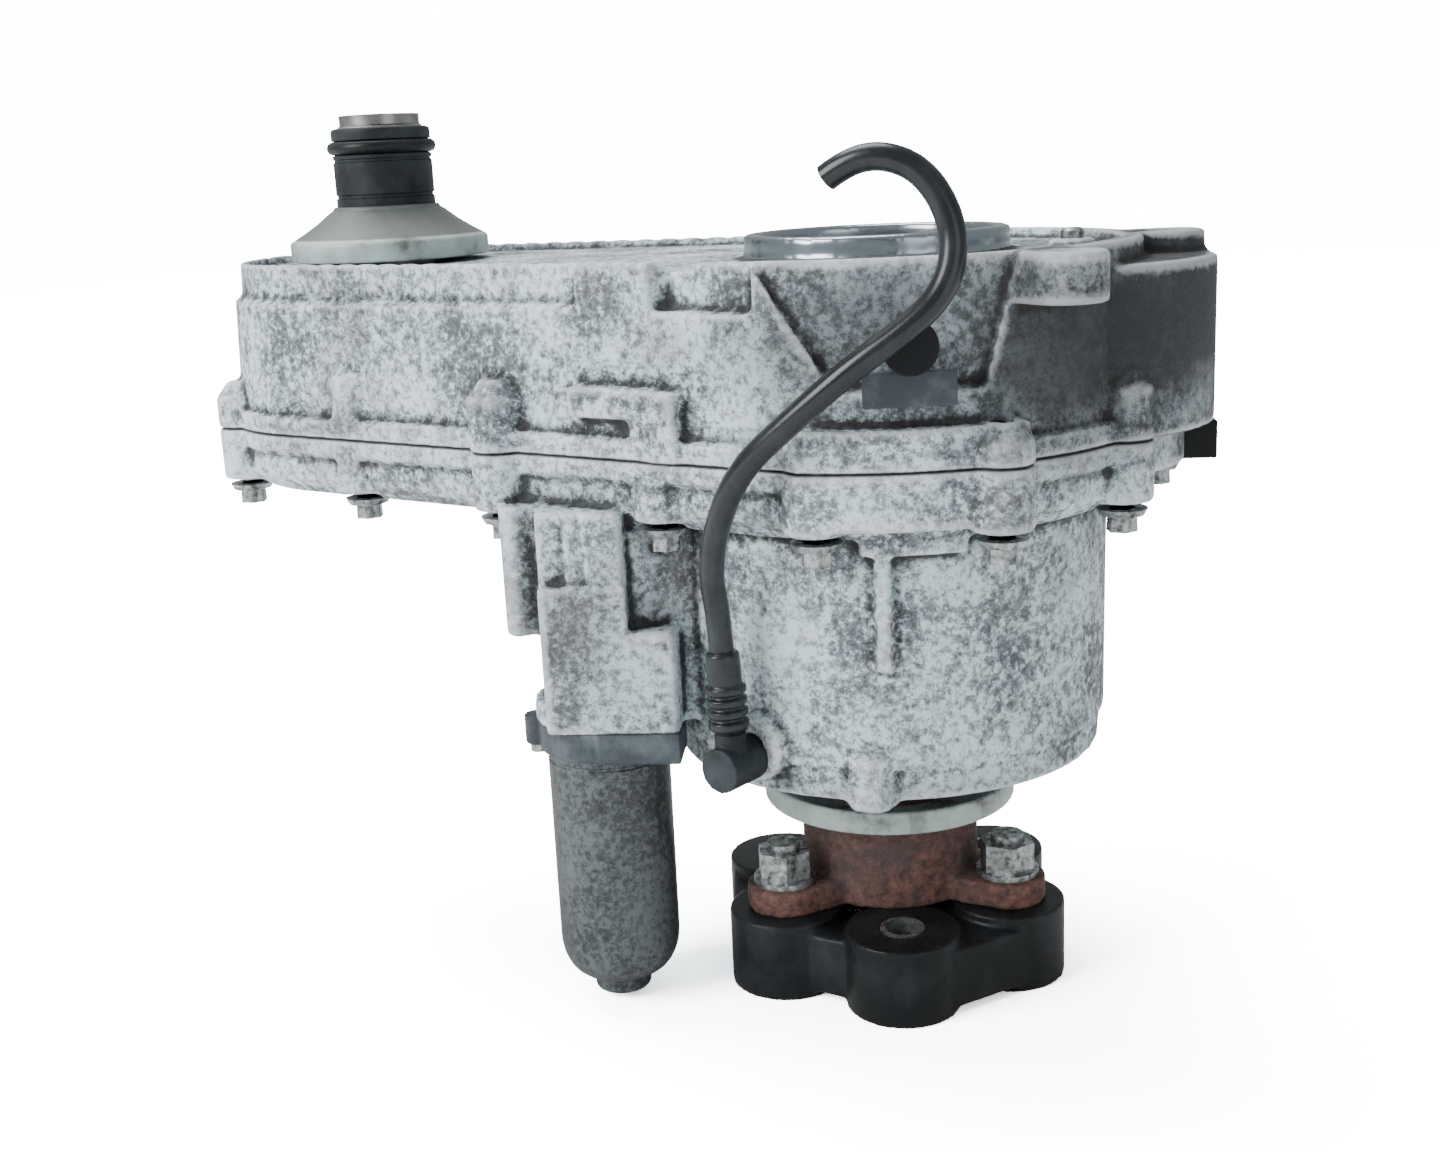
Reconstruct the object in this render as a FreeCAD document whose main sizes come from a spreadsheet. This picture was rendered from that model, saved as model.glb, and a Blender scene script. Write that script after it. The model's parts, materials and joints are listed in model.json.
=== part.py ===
"""Transfer case for all-wheel drive: split aluminium housing, clutch, gear train and actuator.

The main axis is the Z axis. The origin is on it, in the plane of the front mounting face, and
the front output lies on the -X side. Lengths are in millimetres and angles in degrees.
"""
import FreeCAD, Part
import math
import os
import re
import Sketcher

# ------------------------------------------------------------------ driving dimensions
SIZES = {
    # gear train
    "output_offset": 214.4,        # main axis to front output axis
    "gear_teeth": 32,
    "gear_height": 20,
    "gear_top": -32,
    "backlash": 0.5,
    # fits
    "run_fit": 0.05,               # radial clearance of a running fit
    "gap": 0.3,                    # clearance between faces of different pieces
    # apron below the hose clip, rib, bar and bump of the drum
    "apron_radius": 99.5,
    "apron_start": -84,
    "apron_span": 44,
    "apron_top": -48,
    "apron_bottom": -80.5,
    "rib_angle": -68.3,
    "rib_reach": 84.5,
    "rib_bottom": -130.4,
    "rib_height": 52,
    "bump_radius": 8,
    "lobe_inset": 10,
    # bell of the front casting: wall, smooth panel, pocket in its top edge and raised ledge
    "bell_radius": 92.4,
    "panel_radius": 88.6,
    "panel_left": -48,
    "panel_right": 36.5,
    "panel_low_left": -22,
    "panel_low_right": 24.4,
    "panel_depth": 37,
    "pocket_radius": 87.5,
    "pocket_start": -119,
    "pocket_span": 25.5,
    "pocket_depth": 12.5,
    "bell_left": -77,              # left end of the bell on the near wall
    "face_z": 3.7,                 # faces of the rim and the ears, above the foot of the spigot
    "rim_wall": 8,
    "ledge_left": -67.3,           # raised ledge, along the near wall from the foot of the normal
    "ledge_corner": -35,
    "ledge_right": -23,
    "ledge_bottom": -47.5,
    "ledge_top": -37,
    "ledge_height": 5,
    # oil plugs
    "plug_angle": 100,
    "plug_boss": 13,
    "plug_face": 84,
    "plug_thread": 9,
    "fill_plug_z": -105,
    "drain_plug_z": -148,
    # casing
    "seam_z": -61.5,
    "main_wall": 92,               # outside radius about the main axis at the seam
    "output_wall": 66,             # outside radius about the front output axis at the seam
    "wall_draft": 2.5,
    "shoulder_z": -11,
    "shoulder_step": 5,
    "lobe_x": 57.5,
    "lobe_y": 23,
    "lobe_radius": 56,
    "gear_space": 60.5,            # radius of the gear chamber about each gear axis
    "ceiling_z": -27,
    "chamber_floor": -76,
    "skirt_z": -79,
    "floor_z": -85.5,
    "floor_bevel": 7,
    "rim_step": 3,
    "rim_height": 7,
    "spigot_radius": 47,
    "spigot_height": 8.5,
    "spigot_bore": 41,
    # seam bolts
    "bolt_seat": -82.6,
    "boss_radius": 10.5,
    "boss_tip": 5.5,
    "spot_radius": 9.2,
    "shank_radius": 4,
    "bolt_flange": 8.6,
    "bolt_flange_height": 2.4,
    "bolt_head": 6,
    "bolt_head_height": 8,
    "bolt_grip": 14,               # thread length above the seam
    # gearbox mounting ears
    "ear_circle": 104,
    "ear_radius": 12.5,
    "ear_depth": 16,
    "ear_root": 40,
    "ear_hole": 5.2,
    "dowel_radius": 4,
    "dowel_x": 68.8,
    "dowel_y": 7.3,
    "dowel_height": 7,
    "dowel_depth": 10,
    # clutch drum of the rear casting
    "drum_radius": 80.8,
    "drum_foot": 80.2,
    "drum_crease": 1.4,
    "drum_foot_z": -165,
    "drum_heel": 78,
    "drum_end": -177.5,
    "drum_bore": 73,
    "drum_bore_end": -160,
    "snout_radius": 42,
    "snout_end": -192,
    # main shaft
    "shaft_radius": 19.5,
    "hub_radius": 22,
    "hub_top": 3,
    "hub_spline": 14,
    "hub_spline_depth": 38,
    "spline_groove": 1.5,
    "spline_count": 12,
    "tail_radius": 15,
    "tail_top": -182,
    "shaft_end": -247,
    # bearings and seals
    "bearing_height": 14,
    "race_wall": 4,
    "ball_radius": 3.6,
    "ball_count": 8,
    "bearing_top": -13,
    "main_bearing": 37.5,          # outside radius of the front bearing
    "rear_bearing_top": -166,
    "rear_bearing": 35,
    "output_bearing": 33,
    "lower_bearing_top": -59,
    "seal_height": 8,
    "seal_outer": 29,
    "pin_radius": 10,
    "pin_top": -20,
    "pin_bottom": -82,
    "seal_top": -3,
    "rear_seal_top": -183.5,
    # clutch
    "basket_end": -157,
    "basket_plate": 5,
    "basket_top": -117.5,
    "basket_outer": 69,
    "basket_wall": 3.5,
    "plate_thickness": 2.4,
    "plate_pitch": 2.8,
    "friction_count": 5,
    "plate_bottom": -151.7,
    "steel_inner": 45,
    "friction_outer": 63,
    "clutch_hub_outer": 40,
    "clutch_hub_wall": 4,
    "clutch_web_top": -130,
    "sleeve_outer": 26,
    # ball ramp actuator
    "support_top": -86,
    "support_height": 8,
    "ramp_ring_height": 9,
    "ramp_inner": 32,
    "ramp_outer": 62,
    "ramp_ball": 4,
    "ramp_circle": 47,
    "ramp_gap": 3.6,
    "ramp_ball_count": 5,
    "pressure_height": 6,
    "pressure_nose": 7,
    "ramp_swing": 5.3,
    "ramp_teeth": 154,
    "pinion_teeth": 26,
    # actuator motor
    "motor_x": -79.6,
    "motor_y": -73,
    "motor_radius": 22.1,
    "motor_wall": 1.6,
    "tower_face": -157.5,
    "motor_flange_height": 11,
    "motor_neck_z": -245,
    "motor_cone_z": -257,
    "motor_cone_end": 12.5,
    "motor_foot": -264.5,
    "motor_cap_radius": 10.5,
    "flange_ear_reach": 30.5,
    "flange_ear_radius": 4.8,
    "screw_head": 3.2,
    "screw_reach": 27.7,
    "connector_angle": 110,
    "connector_width": 14,
    "reducer_radius": 18,
    "reducer_top": -117,
    "pinion_height": 8,
    "pinion_stub": 5,
    "rotor_radius": 15,
    "tower_radius": 20.9,
    "tower_flange": 25.3,
    "tower_flange_height": 8,
    "tower_top": -88,
    "tower_left": 17.4,            # tower outline, from the motor axis across the view and towards it
    "tower_right": 29.5,
    "tower_front": 25,
    "tower_recess": 20.7,
    "tower_side": 8,
    "tower_back": 24,
    "tower_step": -105,
    "tower_web": 13.2,
    "tower_ledge": -121,
    "tower_rib_left": 7,
    "tower_rib": 4.5,
    "quadrant_radius": 95,
    "quadrant_half": 11.2,
    "quadrant_wall": 2,            # wall of the quadrant's chamber, as an angle
    "quadrant_bottom": -105.5,
    "quadrant_top": -92,
    "post_reach": 136,
    "post_radius": 5,
    "post_bottom": -126,
    "rotor_shaft": 3,
    "view_angle": 21.9,
    "label_x": -69.8,
    "label_y": -97.1,
    "label_length": 29.5,
    "label_depth": 21,
    "flange_ear_angle": 200,
    # rear flange and flexible disc
    "flange_neck": 33.4,
    "flange_sleeve": 24,
    "flange_shoulder": -202.5,
    "arm_thickness": 9.6,
    "arm_radius": 14,
    "dust_ring_radius": 47.4,
    "dust_ring_top": -194,
    "disc_circle": 48,             # radius of the circle through the disc's holes
    "disc_bottom": -267,
    "disc_height": 29.4,
    "disc_lobe": 21,
    "disc_centre": 25,
    "disc_angle": 236.3,
    "sleeve_radius": 8.2,
    "stud_radius": 6,
    "stud_fit": 0.25,
    "stud_reach": 15.5,            # of the stud above the arm
    "nut_flats": 18,
    "nut_height": 10.5,
    "washer_radius": 11.5,
    "washer_height": 2.2,
    "head_height": 7,
    "flange_nut_radius": 18,
    "flange_nut_height": 8,
    # front output
    "output_shaft": 17.5,
    "shield_radius": 40,
    "shield_bottom": 2,
    "shield_rim": 8,
    "shield_top": 23,
    "shield_wall": 2,
    "cap_top": 58.6,
    "cap_radius": 19.8,
    "output_spline": 12,
    "output_spline_depth": 40,
    "ring_z": 46,
    # vent
    "vent_angle": 258.2,
    "vent_reach": 94,
    "vent_z": -163.5,
    "vent_lean": 3.5,
    "vent_boss": 12,
    "elbow_radius": 7.6,
    "barrel_radius": 5.4,
    "barrel_height": 12,
    "cuff_height": 28,
    "hose_radius": 4.2,
    "hose_straight": 14,           # straight run out of the cuff
    "vent_face": 84,
    "vent_bore": 5,
    # hose clip and side block
    "clip_angle": -62.8,
    "clip_width": 29,
    "clip_stand": 11.4,            # of the plate's face off the panel
    "clip_bottom": -41,
    "clip_height": 11,
    "knob_radius": 8.6,
    "knob_z": -22.3,
    "block_x": 99.7,
    "block_y": 42.3,
    "block_z": -78,
    "block_length": 12.5,
    "block_depth": 22,
    "block_height": 13.7,
}

doc = FreeCAD.newDocument("transfer_case")
sheet = doc.addObject("Spreadsheet::Sheet", "Sizes")
for row, (alias, value) in enumerate(SIZES.items(), start=1):
    sheet.set(f"A{row}", alias)
    sheet.set(f"B{row}", str(value))
    sheet.setAlias(f"B{row}", alias)
doc.recompute()

nodes = []


# ------------------------------------------------------------------ forms used by many parts
def formula(text):
    """The expression with every size's name pointing at the sheet."""
    def on_sheet(match):
        return "Sizes." + match.group() if match.group() in SIZES else match.group()
    return re.sub(r"[a-z][a-z_]*", on_sheet, str(text))


def number(text):
    """The value that the expression has now."""
    return float(sheet.evalExpression(formula(text)))


def bind(item, **properties):
    """Bind each property of the object to its expression."""
    for name, text in properties.items():
        item.setExpression(name, formula(text))
    return item


def place(item, x=0, y=0, z=0, turn=None):
    """Put the object at expressions of x, y and z, after an optional rotation."""
    if turn is not None:
        item.Placement = FreeCAD.Placement(FreeCAD.Vector(), turn)
    for axis, text in (("x", x), ("y", y), ("z", z)):
        item.setExpression(f"Placement.Base.{axis}", formula(text))
    return item


def node(item, label):
    """Give the object its own name as one of the part's pieces."""
    item.Label = label
    nodes.append(item)
    return item


def cylinder(radius, height, x=0, y=0, z=0, turn=None):
    item = doc.addObject("Part::Cylinder", "Cylinder")
    bind(item, Radius=radius, Height=height)
    return place(item, x, y, z, turn)


def cone(low, high, height, x=0, y=0, z=0, turn=None):
    item = doc.addObject("Part::Cone", "Cone")
    bind(item, Radius1=low, Radius2=high, Height=height)
    return place(item, x, y, z, turn)


def box(length, width, height, x=0, y=0, z=0, turn=None):
    item = doc.addObject("Part::Box", "Box")
    bind(item, Length=length, Width=width, Height=height)
    return place(item, x, y, z, turn)


def bar(angle, inner, outer, half_width, bottom, height, x=0, y=0):
    """Box that lies along an angle from an inner to an outer radius about (x, y)."""
    start_x = f"{x} + ({inner}) * cos({angle}) + ({half_width}) * sin({angle})"
    start_y = f"{y} + ({inner}) * sin({angle}) - ({half_width}) * cos({angle})"
    return box(f"({outer}) - ({inner})", f"2 * ({half_width})", height, start_x, start_y, bottom,
               upright(angle))


def ball(radius, x=0, y=0, z=0):
    item = doc.addObject("Part::Sphere", "Ball")
    bind(item, Radius=radius)
    return place(item, x, y, z)


def donut(circle, radius, x=0, y=0, z=0):
    item = doc.addObject("Part::Torus", "Groove")
    bind(item, Radius1=circle, Radius2=radius)
    return place(item, x, y, z)


def prism(sides, corner_radius, height, x=0, y=0, z=0, turn=None):
    item = doc.addObject("Part::Prism", "Prism")
    item.Polygon = sides
    bind(item, Circumradius=corner_radius, Height=height)
    return place(item, x, y, z, turn)


def fuse(items):
    item = doc.addObject("Part::MultiFuse", "Fuse")
    item.Shapes = items
    return item


def cut(base, tools):
    item = doc.addObject("Part::Cut", "Cut")
    item.Base = base
    item.Tool = tools[0] if len(tools) == 1 else fuse(tools)
    return item


def shaped(shape):
    """Object that holds a shape made by Part's own functions."""
    item = doc.addObject("Part::Feature", "Shaped")
    item.Shape = shape
    return item


def origin_plane(body, role):
    return next(item for item in body.Origin.OriginFeatures if item.Role == role)


def draw_outline(sketch, points):
    """Closed outline through points given as pairs of expressions, each one dimensioned."""
    spots = [FreeCAD.Vector(number(x), number(y), 0) for x, y in points]
    for index, spot in enumerate(spots):
        sketch.addGeometry(Part.LineSegment(spot, spots[(index + 1) % len(spots)]), False)
    for index, (x, y) in enumerate(points):
        before = (index - 1) % len(points)
        sketch.addConstraint(Sketcher.Constraint("Coincident", before, 2, index, 1))
        for kind, text in (("DistanceX", x), ("DistanceY", y)):
            rule = sketch.addConstraint(Sketcher.Constraint(kind, -1, 1, index, 1, number(text)))
            sketch.setExpression(f"Constraints[{rule}]", formula(text))


def turned(points, x=0, y=0, z=0, turn=None):
    """Body revolved about its own Z axis from an outline of (radius, height) pairs."""
    body = doc.addObject("PartDesign::Body", "Turned")
    sketch = body.newObject("Sketcher::SketchObject", "Profile")
    sketch.AttachmentSupport = [(origin_plane(body, "XZ_Plane"), "")]
    sketch.MapMode = "FlatFace"
    draw_outline(sketch, points)
    spin = body.newObject("PartDesign::Revolution", "Revolution")
    spin.Profile = sketch
    spin.ReferenceAxis = (sketch, ["V_Axis"])
    spin.Angle = 360
    return place(body, x, y, z, turn)


def ring(inner, outer, bottom, top, x=0, y=0):
    """Turned ring of rectangular section."""
    return turned([(inner, bottom), (outer, bottom), (outer, top), (inner, top)], x, y)


def slab(points, thickness, angle, reach):
    """Block standing upright, from an outline of (sideways, height) pairs, facing out at the angle."""
    body = doc.addObject("PartDesign::Body", "Slab")
    sketch = body.newObject("Sketcher::SketchObject", "Outline")
    sketch.AttachmentSupport = [(origin_plane(body, "XY_Plane"), "")]
    sketch.MapMode = "FlatFace"
    draw_outline(sketch, points)
    pad = body.newObject("PartDesign::Pad", "Pad")
    pad.Profile = sketch
    bind(pad, Length=thickness)
    stand_up = FreeCAD.Rotation(FreeCAD.Vector(1, 1, 1), 120)
    return place(body, *about(0, 0, reach, angle), 0, upright(angle) * stand_up)


def belt(main_radius, output_radius, bottom, height, taper=None):
    """Block whose outline runs round the main axis and the output axis like a belt."""
    reach = number("output_offset")
    big = number(main_radius)
    small = number(output_radius)
    side = math.pi / 2 + math.asin((big - small) / reach)
    centre = FreeCAD.Vector(0, 0, 0)
    far = FreeCAD.Vector(-reach, 0, 0)
    up = FreeCAD.Vector(0, 0, 1)

    def rim(middle, radius, angle):
        return middle + FreeCAD.Vector(radius * math.cos(angle), radius * math.sin(angle), 0)

    sketch = doc.addObject("Sketcher::SketchObject", "Belt")
    sketch.addGeometry(Part.ArcOfCircle(Part.Circle(centre, up, big), -side, side), False)
    sketch.addGeometry(Part.LineSegment(rim(centre, big, side), rim(far, small, side)), False)
    sketch.addGeometry(Part.ArcOfCircle(Part.Circle(far, up, small), side, 2 * math.pi - side), False)
    sketch.addGeometry(Part.LineSegment(rim(far, small, -side), rim(centre, big, -side)), False)
    for one, other in ((0, 1), (1, 2), (2, 3), (3, 0)):
        sketch.addConstraint(Sketcher.Constraint("Tangent", one, 2, other, 1))
    sketch.addConstraint(Sketcher.Constraint("Coincident", 0, 3, -1, 1))
    sketch.addConstraint(Sketcher.Constraint("PointOnObject", 2, 3, -1))
    span = sketch.addConstraint(Sketcher.Constraint("DistanceX", -1, 1, 2, 3, -reach))
    sketch.setExpression(f"Constraints[{span}]", formula("-output_offset"))
    for index, text in ((0, main_radius), (2, output_radius)):
        rule = sketch.addConstraint(Sketcher.Constraint("Radius", index, number(text)))
        sketch.setExpression(f"Constraints[{rule}]", formula(text))
    block = doc.addObject("Part::Extrusion", "Block")
    block.Base = sketch
    block.DirMode = "Custom"
    block.Dir = up
    block.Solid = True
    bind(block, LengthFwd=height)
    if taper:
        bind(block, TaperAngle=taper)
    return place(block, z=bottom)


def about(axis_x, axis_y, radius, angle):
    """Expressions of the x and y of a point at a radius and angle about an axis."""
    return f"{axis_x} + ({radius}) * cos({angle})", f"{axis_y} + ({radius}) * sin({angle})"


def upright(angle):
    """Rotation that turns the X axis to the angle, about Z."""
    return FreeCAD.Rotation(FreeCAD.Vector(0, 0, 1), number(angle))


def outward(angle):
    """Rotation that lays the Z axis down to point outwards at the angle."""
    return upright(angle) * FreeCAD.Rotation(FreeCAD.Vector(0, 1, 0), 90)


def toothed_points(pitch_radius, teeth, phase, first, last):
    """Flank points of the teeth from first to last, involute at the base, pitch and tip circles."""
    module = 2 * pitch_radius / teeth
    pressure = math.radians(20)
    base = pitch_radius * math.cos(pressure)
    half_pitch = math.pi / (2 * teeth) - number("backlash") / (2 * pitch_radius)
    half_base = half_pitch + math.tan(pressure) - pressure

    def half_angle(radius):
        lean = math.acos(min(1, base / radius))
        return half_base - (math.tan(lean) - lean)

    root = pitch_radius - 1.25 * module
    flank = [(root, half_angle(max(root, base))), (pitch_radius, half_angle(pitch_radius)),
             (pitch_radius + 0.92 * module, half_angle(pitch_radius + 0.92 * module))]
    points = []
    for tooth in range(first, last + 1):
        middle = phase + 2 * math.pi * tooth / teeth
        for radius, half in flank:
            points.append((radius, middle - half))
        for radius, half in reversed(flank):
            points.append((radius, middle + half))
    return [FreeCAD.Vector(radius * math.cos(angle), radius * math.sin(angle), 0)
            for radius, angle in points]


def gear(pitch_radius, teeth, phase, bottom, height, x=0, y=0):
    """Spur gear blank with a full circle of teeth."""
    points = toothed_points(number(pitch_radius), int(number(teeth)), phase, 1, int(number(teeth)))
    face = Part.Face(Part.makePolygon(points + points[:1]))
    item = shaped(face.extrude(FreeCAD.Vector(0, 0, number(height))))
    return place(item, x, y, bottom)


OUTPUT_X = "-output_offset"
IDLER_X = "-output_offset / 2"
MIDDLE_WALL = "(main_wall + output_wall) / 2"
MOTOR_ANGLE = f"{number('atan2(motor_y; motor_x)')}"
MOTOR_REACH = "sqrt(motor_x ^ 2 + motor_y ^ 2)"

# Seam bolts: axis and radius of the wall they stand in, angle, and top of the front boss.
SEAM_BOLTS = [
    (OUTPUT_X, 0, "output_wall - 0.6", 228, -50),
    (OUTPUT_X, 0, "output_wall + 1.6", -66.7, -39),
    (IDLER_X, 0, f"{MIDDLE_WALL} - 0.5", -94.6, -43),
    (0, 0, "main_wall + 0.7", 239.5, -43),
    (0, 0, "main_wall - 3", -81.9, -54),
    (0, 0, "main_wall + 3.1", -44.8, -54),
    (0, 0, "main_wall + 0.7", -7.9, -44),
    ("lobe_x", "lobe_y", "lobe_radius", 62, -44),
    (0, 0, "main_wall", 84, -46),
    (0, 0, "main_wall + 0.7", 120.5, -46),
    (IDLER_X, 0, f"{MIDDLE_WALL} - 0.5", 94.6, -40),
    (OUTPUT_X, 0, "output_wall + 1.6", 66.7, -44),
    (OUTPUT_X, 0, "output_wall - 0.6", 132, -22),
]
# Angles of the mounting ears about the main axis.
EAR_ANGLES = (-34.3, 27.5, 90, 135)
# Direction that the near side wall faces, between the main axis and the output axis.
NEAR_WALL = f"-90 - {number('asin((main_wall - output_wall) / output_offset)')}"


# ------------------------------------------------------------------ castings
def sector(radius, start, span, bottom, height, x=0, y=0):
    """Slice of a cylinder between two angles."""
    item = cylinder(radius, height, x, y, bottom, upright(start))
    bind(item, Angle=span)
    return item


def front_casting():
    solid = [
        belt("main_wall", "output_wall", "seam_z", "shoulder_z - seam_z", "-wall_draft"),
        belt("main_wall - shoulder_step", "output_wall - shoulder_step",
             "shoulder_z - 1", "1 + face_z - shoulder_z", "-wall_draft"),
        cut(belt("main_wall", "output_wall", "seam_z", "face_z - seam_z", "-wall_draft"),
            [box("2 * output_offset", "3 * main_wall", "face_z - 2 * seam_z",
                 "bell_left - 2 * output_offset", "-1.5 * main_wall", "1.5 * seam_z")]),
        belt("main_wall + rim_step", "output_wall + rim_step", "seam_z", "rim_height"),
        cylinder("lobe_radius", "-4 - seam_z", "lobe_x", "lobe_y", "seam_z"),
        cylinder("spigot_radius", "spigot_height + 5", z=-5),
        sector("apron_radius", "apron_start", "apron_span", "seam_z", "apron_top - seam_z"),
        cylinder("bell_radius", "face_z - seam_z", z="seam_z"),
        slab([("ledge_left", "ledge_bottom"), ("ledge_corner", "ledge_bottom"), ("ledge_corner", "seam_z"),
              ("ledge_right", "seam_z"), ("ledge_right", "ledge_top - 1"), ("ledge_corner", "ledge_top"),
              ("ledge_left", "ledge_top")], "ledge_height + 4", NEAR_WALL, "main_wall - 4"),
    ]
    for axis_x, axis_y, radius, angle, top in SEAM_BOLTS:
        x, y = about(axis_x, axis_y, radius, angle)
        solid.append(cylinder("boss_radius", f"{top} - seam_z", x, y, "seam_z"))
        solid.append(cone("boss_radius", "boss_tip", 7, x, y, top))
    for angle in EAR_ANGLES:
        x, y = about(0, 0, "ear_circle", angle)
        solid.append(cylinder("ear_radius", "ear_depth", x, y, "face_z - ear_depth"))
        solid.append(bar(angle, "ear_root", "ear_circle", "ear_radius", "face_z - ear_depth", "ear_depth"))
    hollow = [
        belt("gear_space", "gear_space", "seam_z - 1", "ceiling_z - seam_z + 1"),
        cylinder("main_bearing", "bearing_height + 2", z="bearing_top - bearing_height - 2"),
        cylinder("seal_outer", "spigot_height + 20", z="bearing_top - 2"),
        cylinder("spigot_bore", "spigot_height + 1 - seal_top", z="seal_top"),
        cylinder("output_bearing", "bearing_height + 2", OUTPUT_X, 0, "bearing_top - bearing_height - 2"),
        cylinder("seal_outer", 30, OUTPUT_X, 0, "bearing_top - 2"),
        cylinder("pin_radius", "pin_top - seam_z", IDLER_X, 0, "seam_z"),
        cylinder("dowel_radius", "face_z + dowel_depth + 1", "dowel_x", "dowel_y", "-dowel_depth"),
        cut(slab([("panel_left", "face_z + 1"), ("panel_low_left", "-panel_depth"),
                  ("panel_low_right", "-panel_depth"), ("panel_right", "face_z + 1")],
                 "ear_root", "clip_angle", "panel_radius - 20"),
            [cylinder("panel_radius", "face_z + 2 - seam_z", z="seam_z")]),
        cut(sector("bell_radius + 5", "pocket_start", "pocket_span", "-pocket_depth",
                   "face_z + pocket_depth + 1"),
            [cylinder("pocket_radius", "face_z + 2 - seam_z", z="seam_z")]),
        cut(belt("main_wall - rim_wall", "output_wall - rim_wall", 0, "face_z + 1"),
            [cylinder("spigot_radius", "face_z + 2", z=-1),
             cylinder("2 * dowel_radius", "face_z + 2", "dowel_x", "dowel_y", -1)]),
    ]
    for angle in EAR_ANGLES:
        x, y = about(0, 0, "ear_circle", angle)
        hollow.append(cylinder("ear_hole", "ear_depth + 2", x, y, "face_z - ear_depth - 1"))
    for axis_x, axis_y, radius, angle, _ in SEAM_BOLTS:
        x, y = about(axis_x, axis_y, radius, angle)
        hollow.append(cylinder("shank_radius + run_fit", "bolt_grip + 2", x, y, "seam_z - 1"))
    node(cut(fuse(solid), hollow), "case_front")


def tower_block(left, right, front, bottom, top):
    """Block of the motor tower, from the motor axis across the view and towards it."""
    x = f"motor_x + ({left}) * cos(view_angle) + ({front}) * sin(view_angle)"
    y = f"motor_y + ({left}) * sin(view_angle) - ({front}) * cos(view_angle)"
    return box(f"({right}) - ({left})", f"{front} + tower_back", f"({top}) - ({bottom})", x, y, bottom,
               upright("view_angle"))


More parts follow.
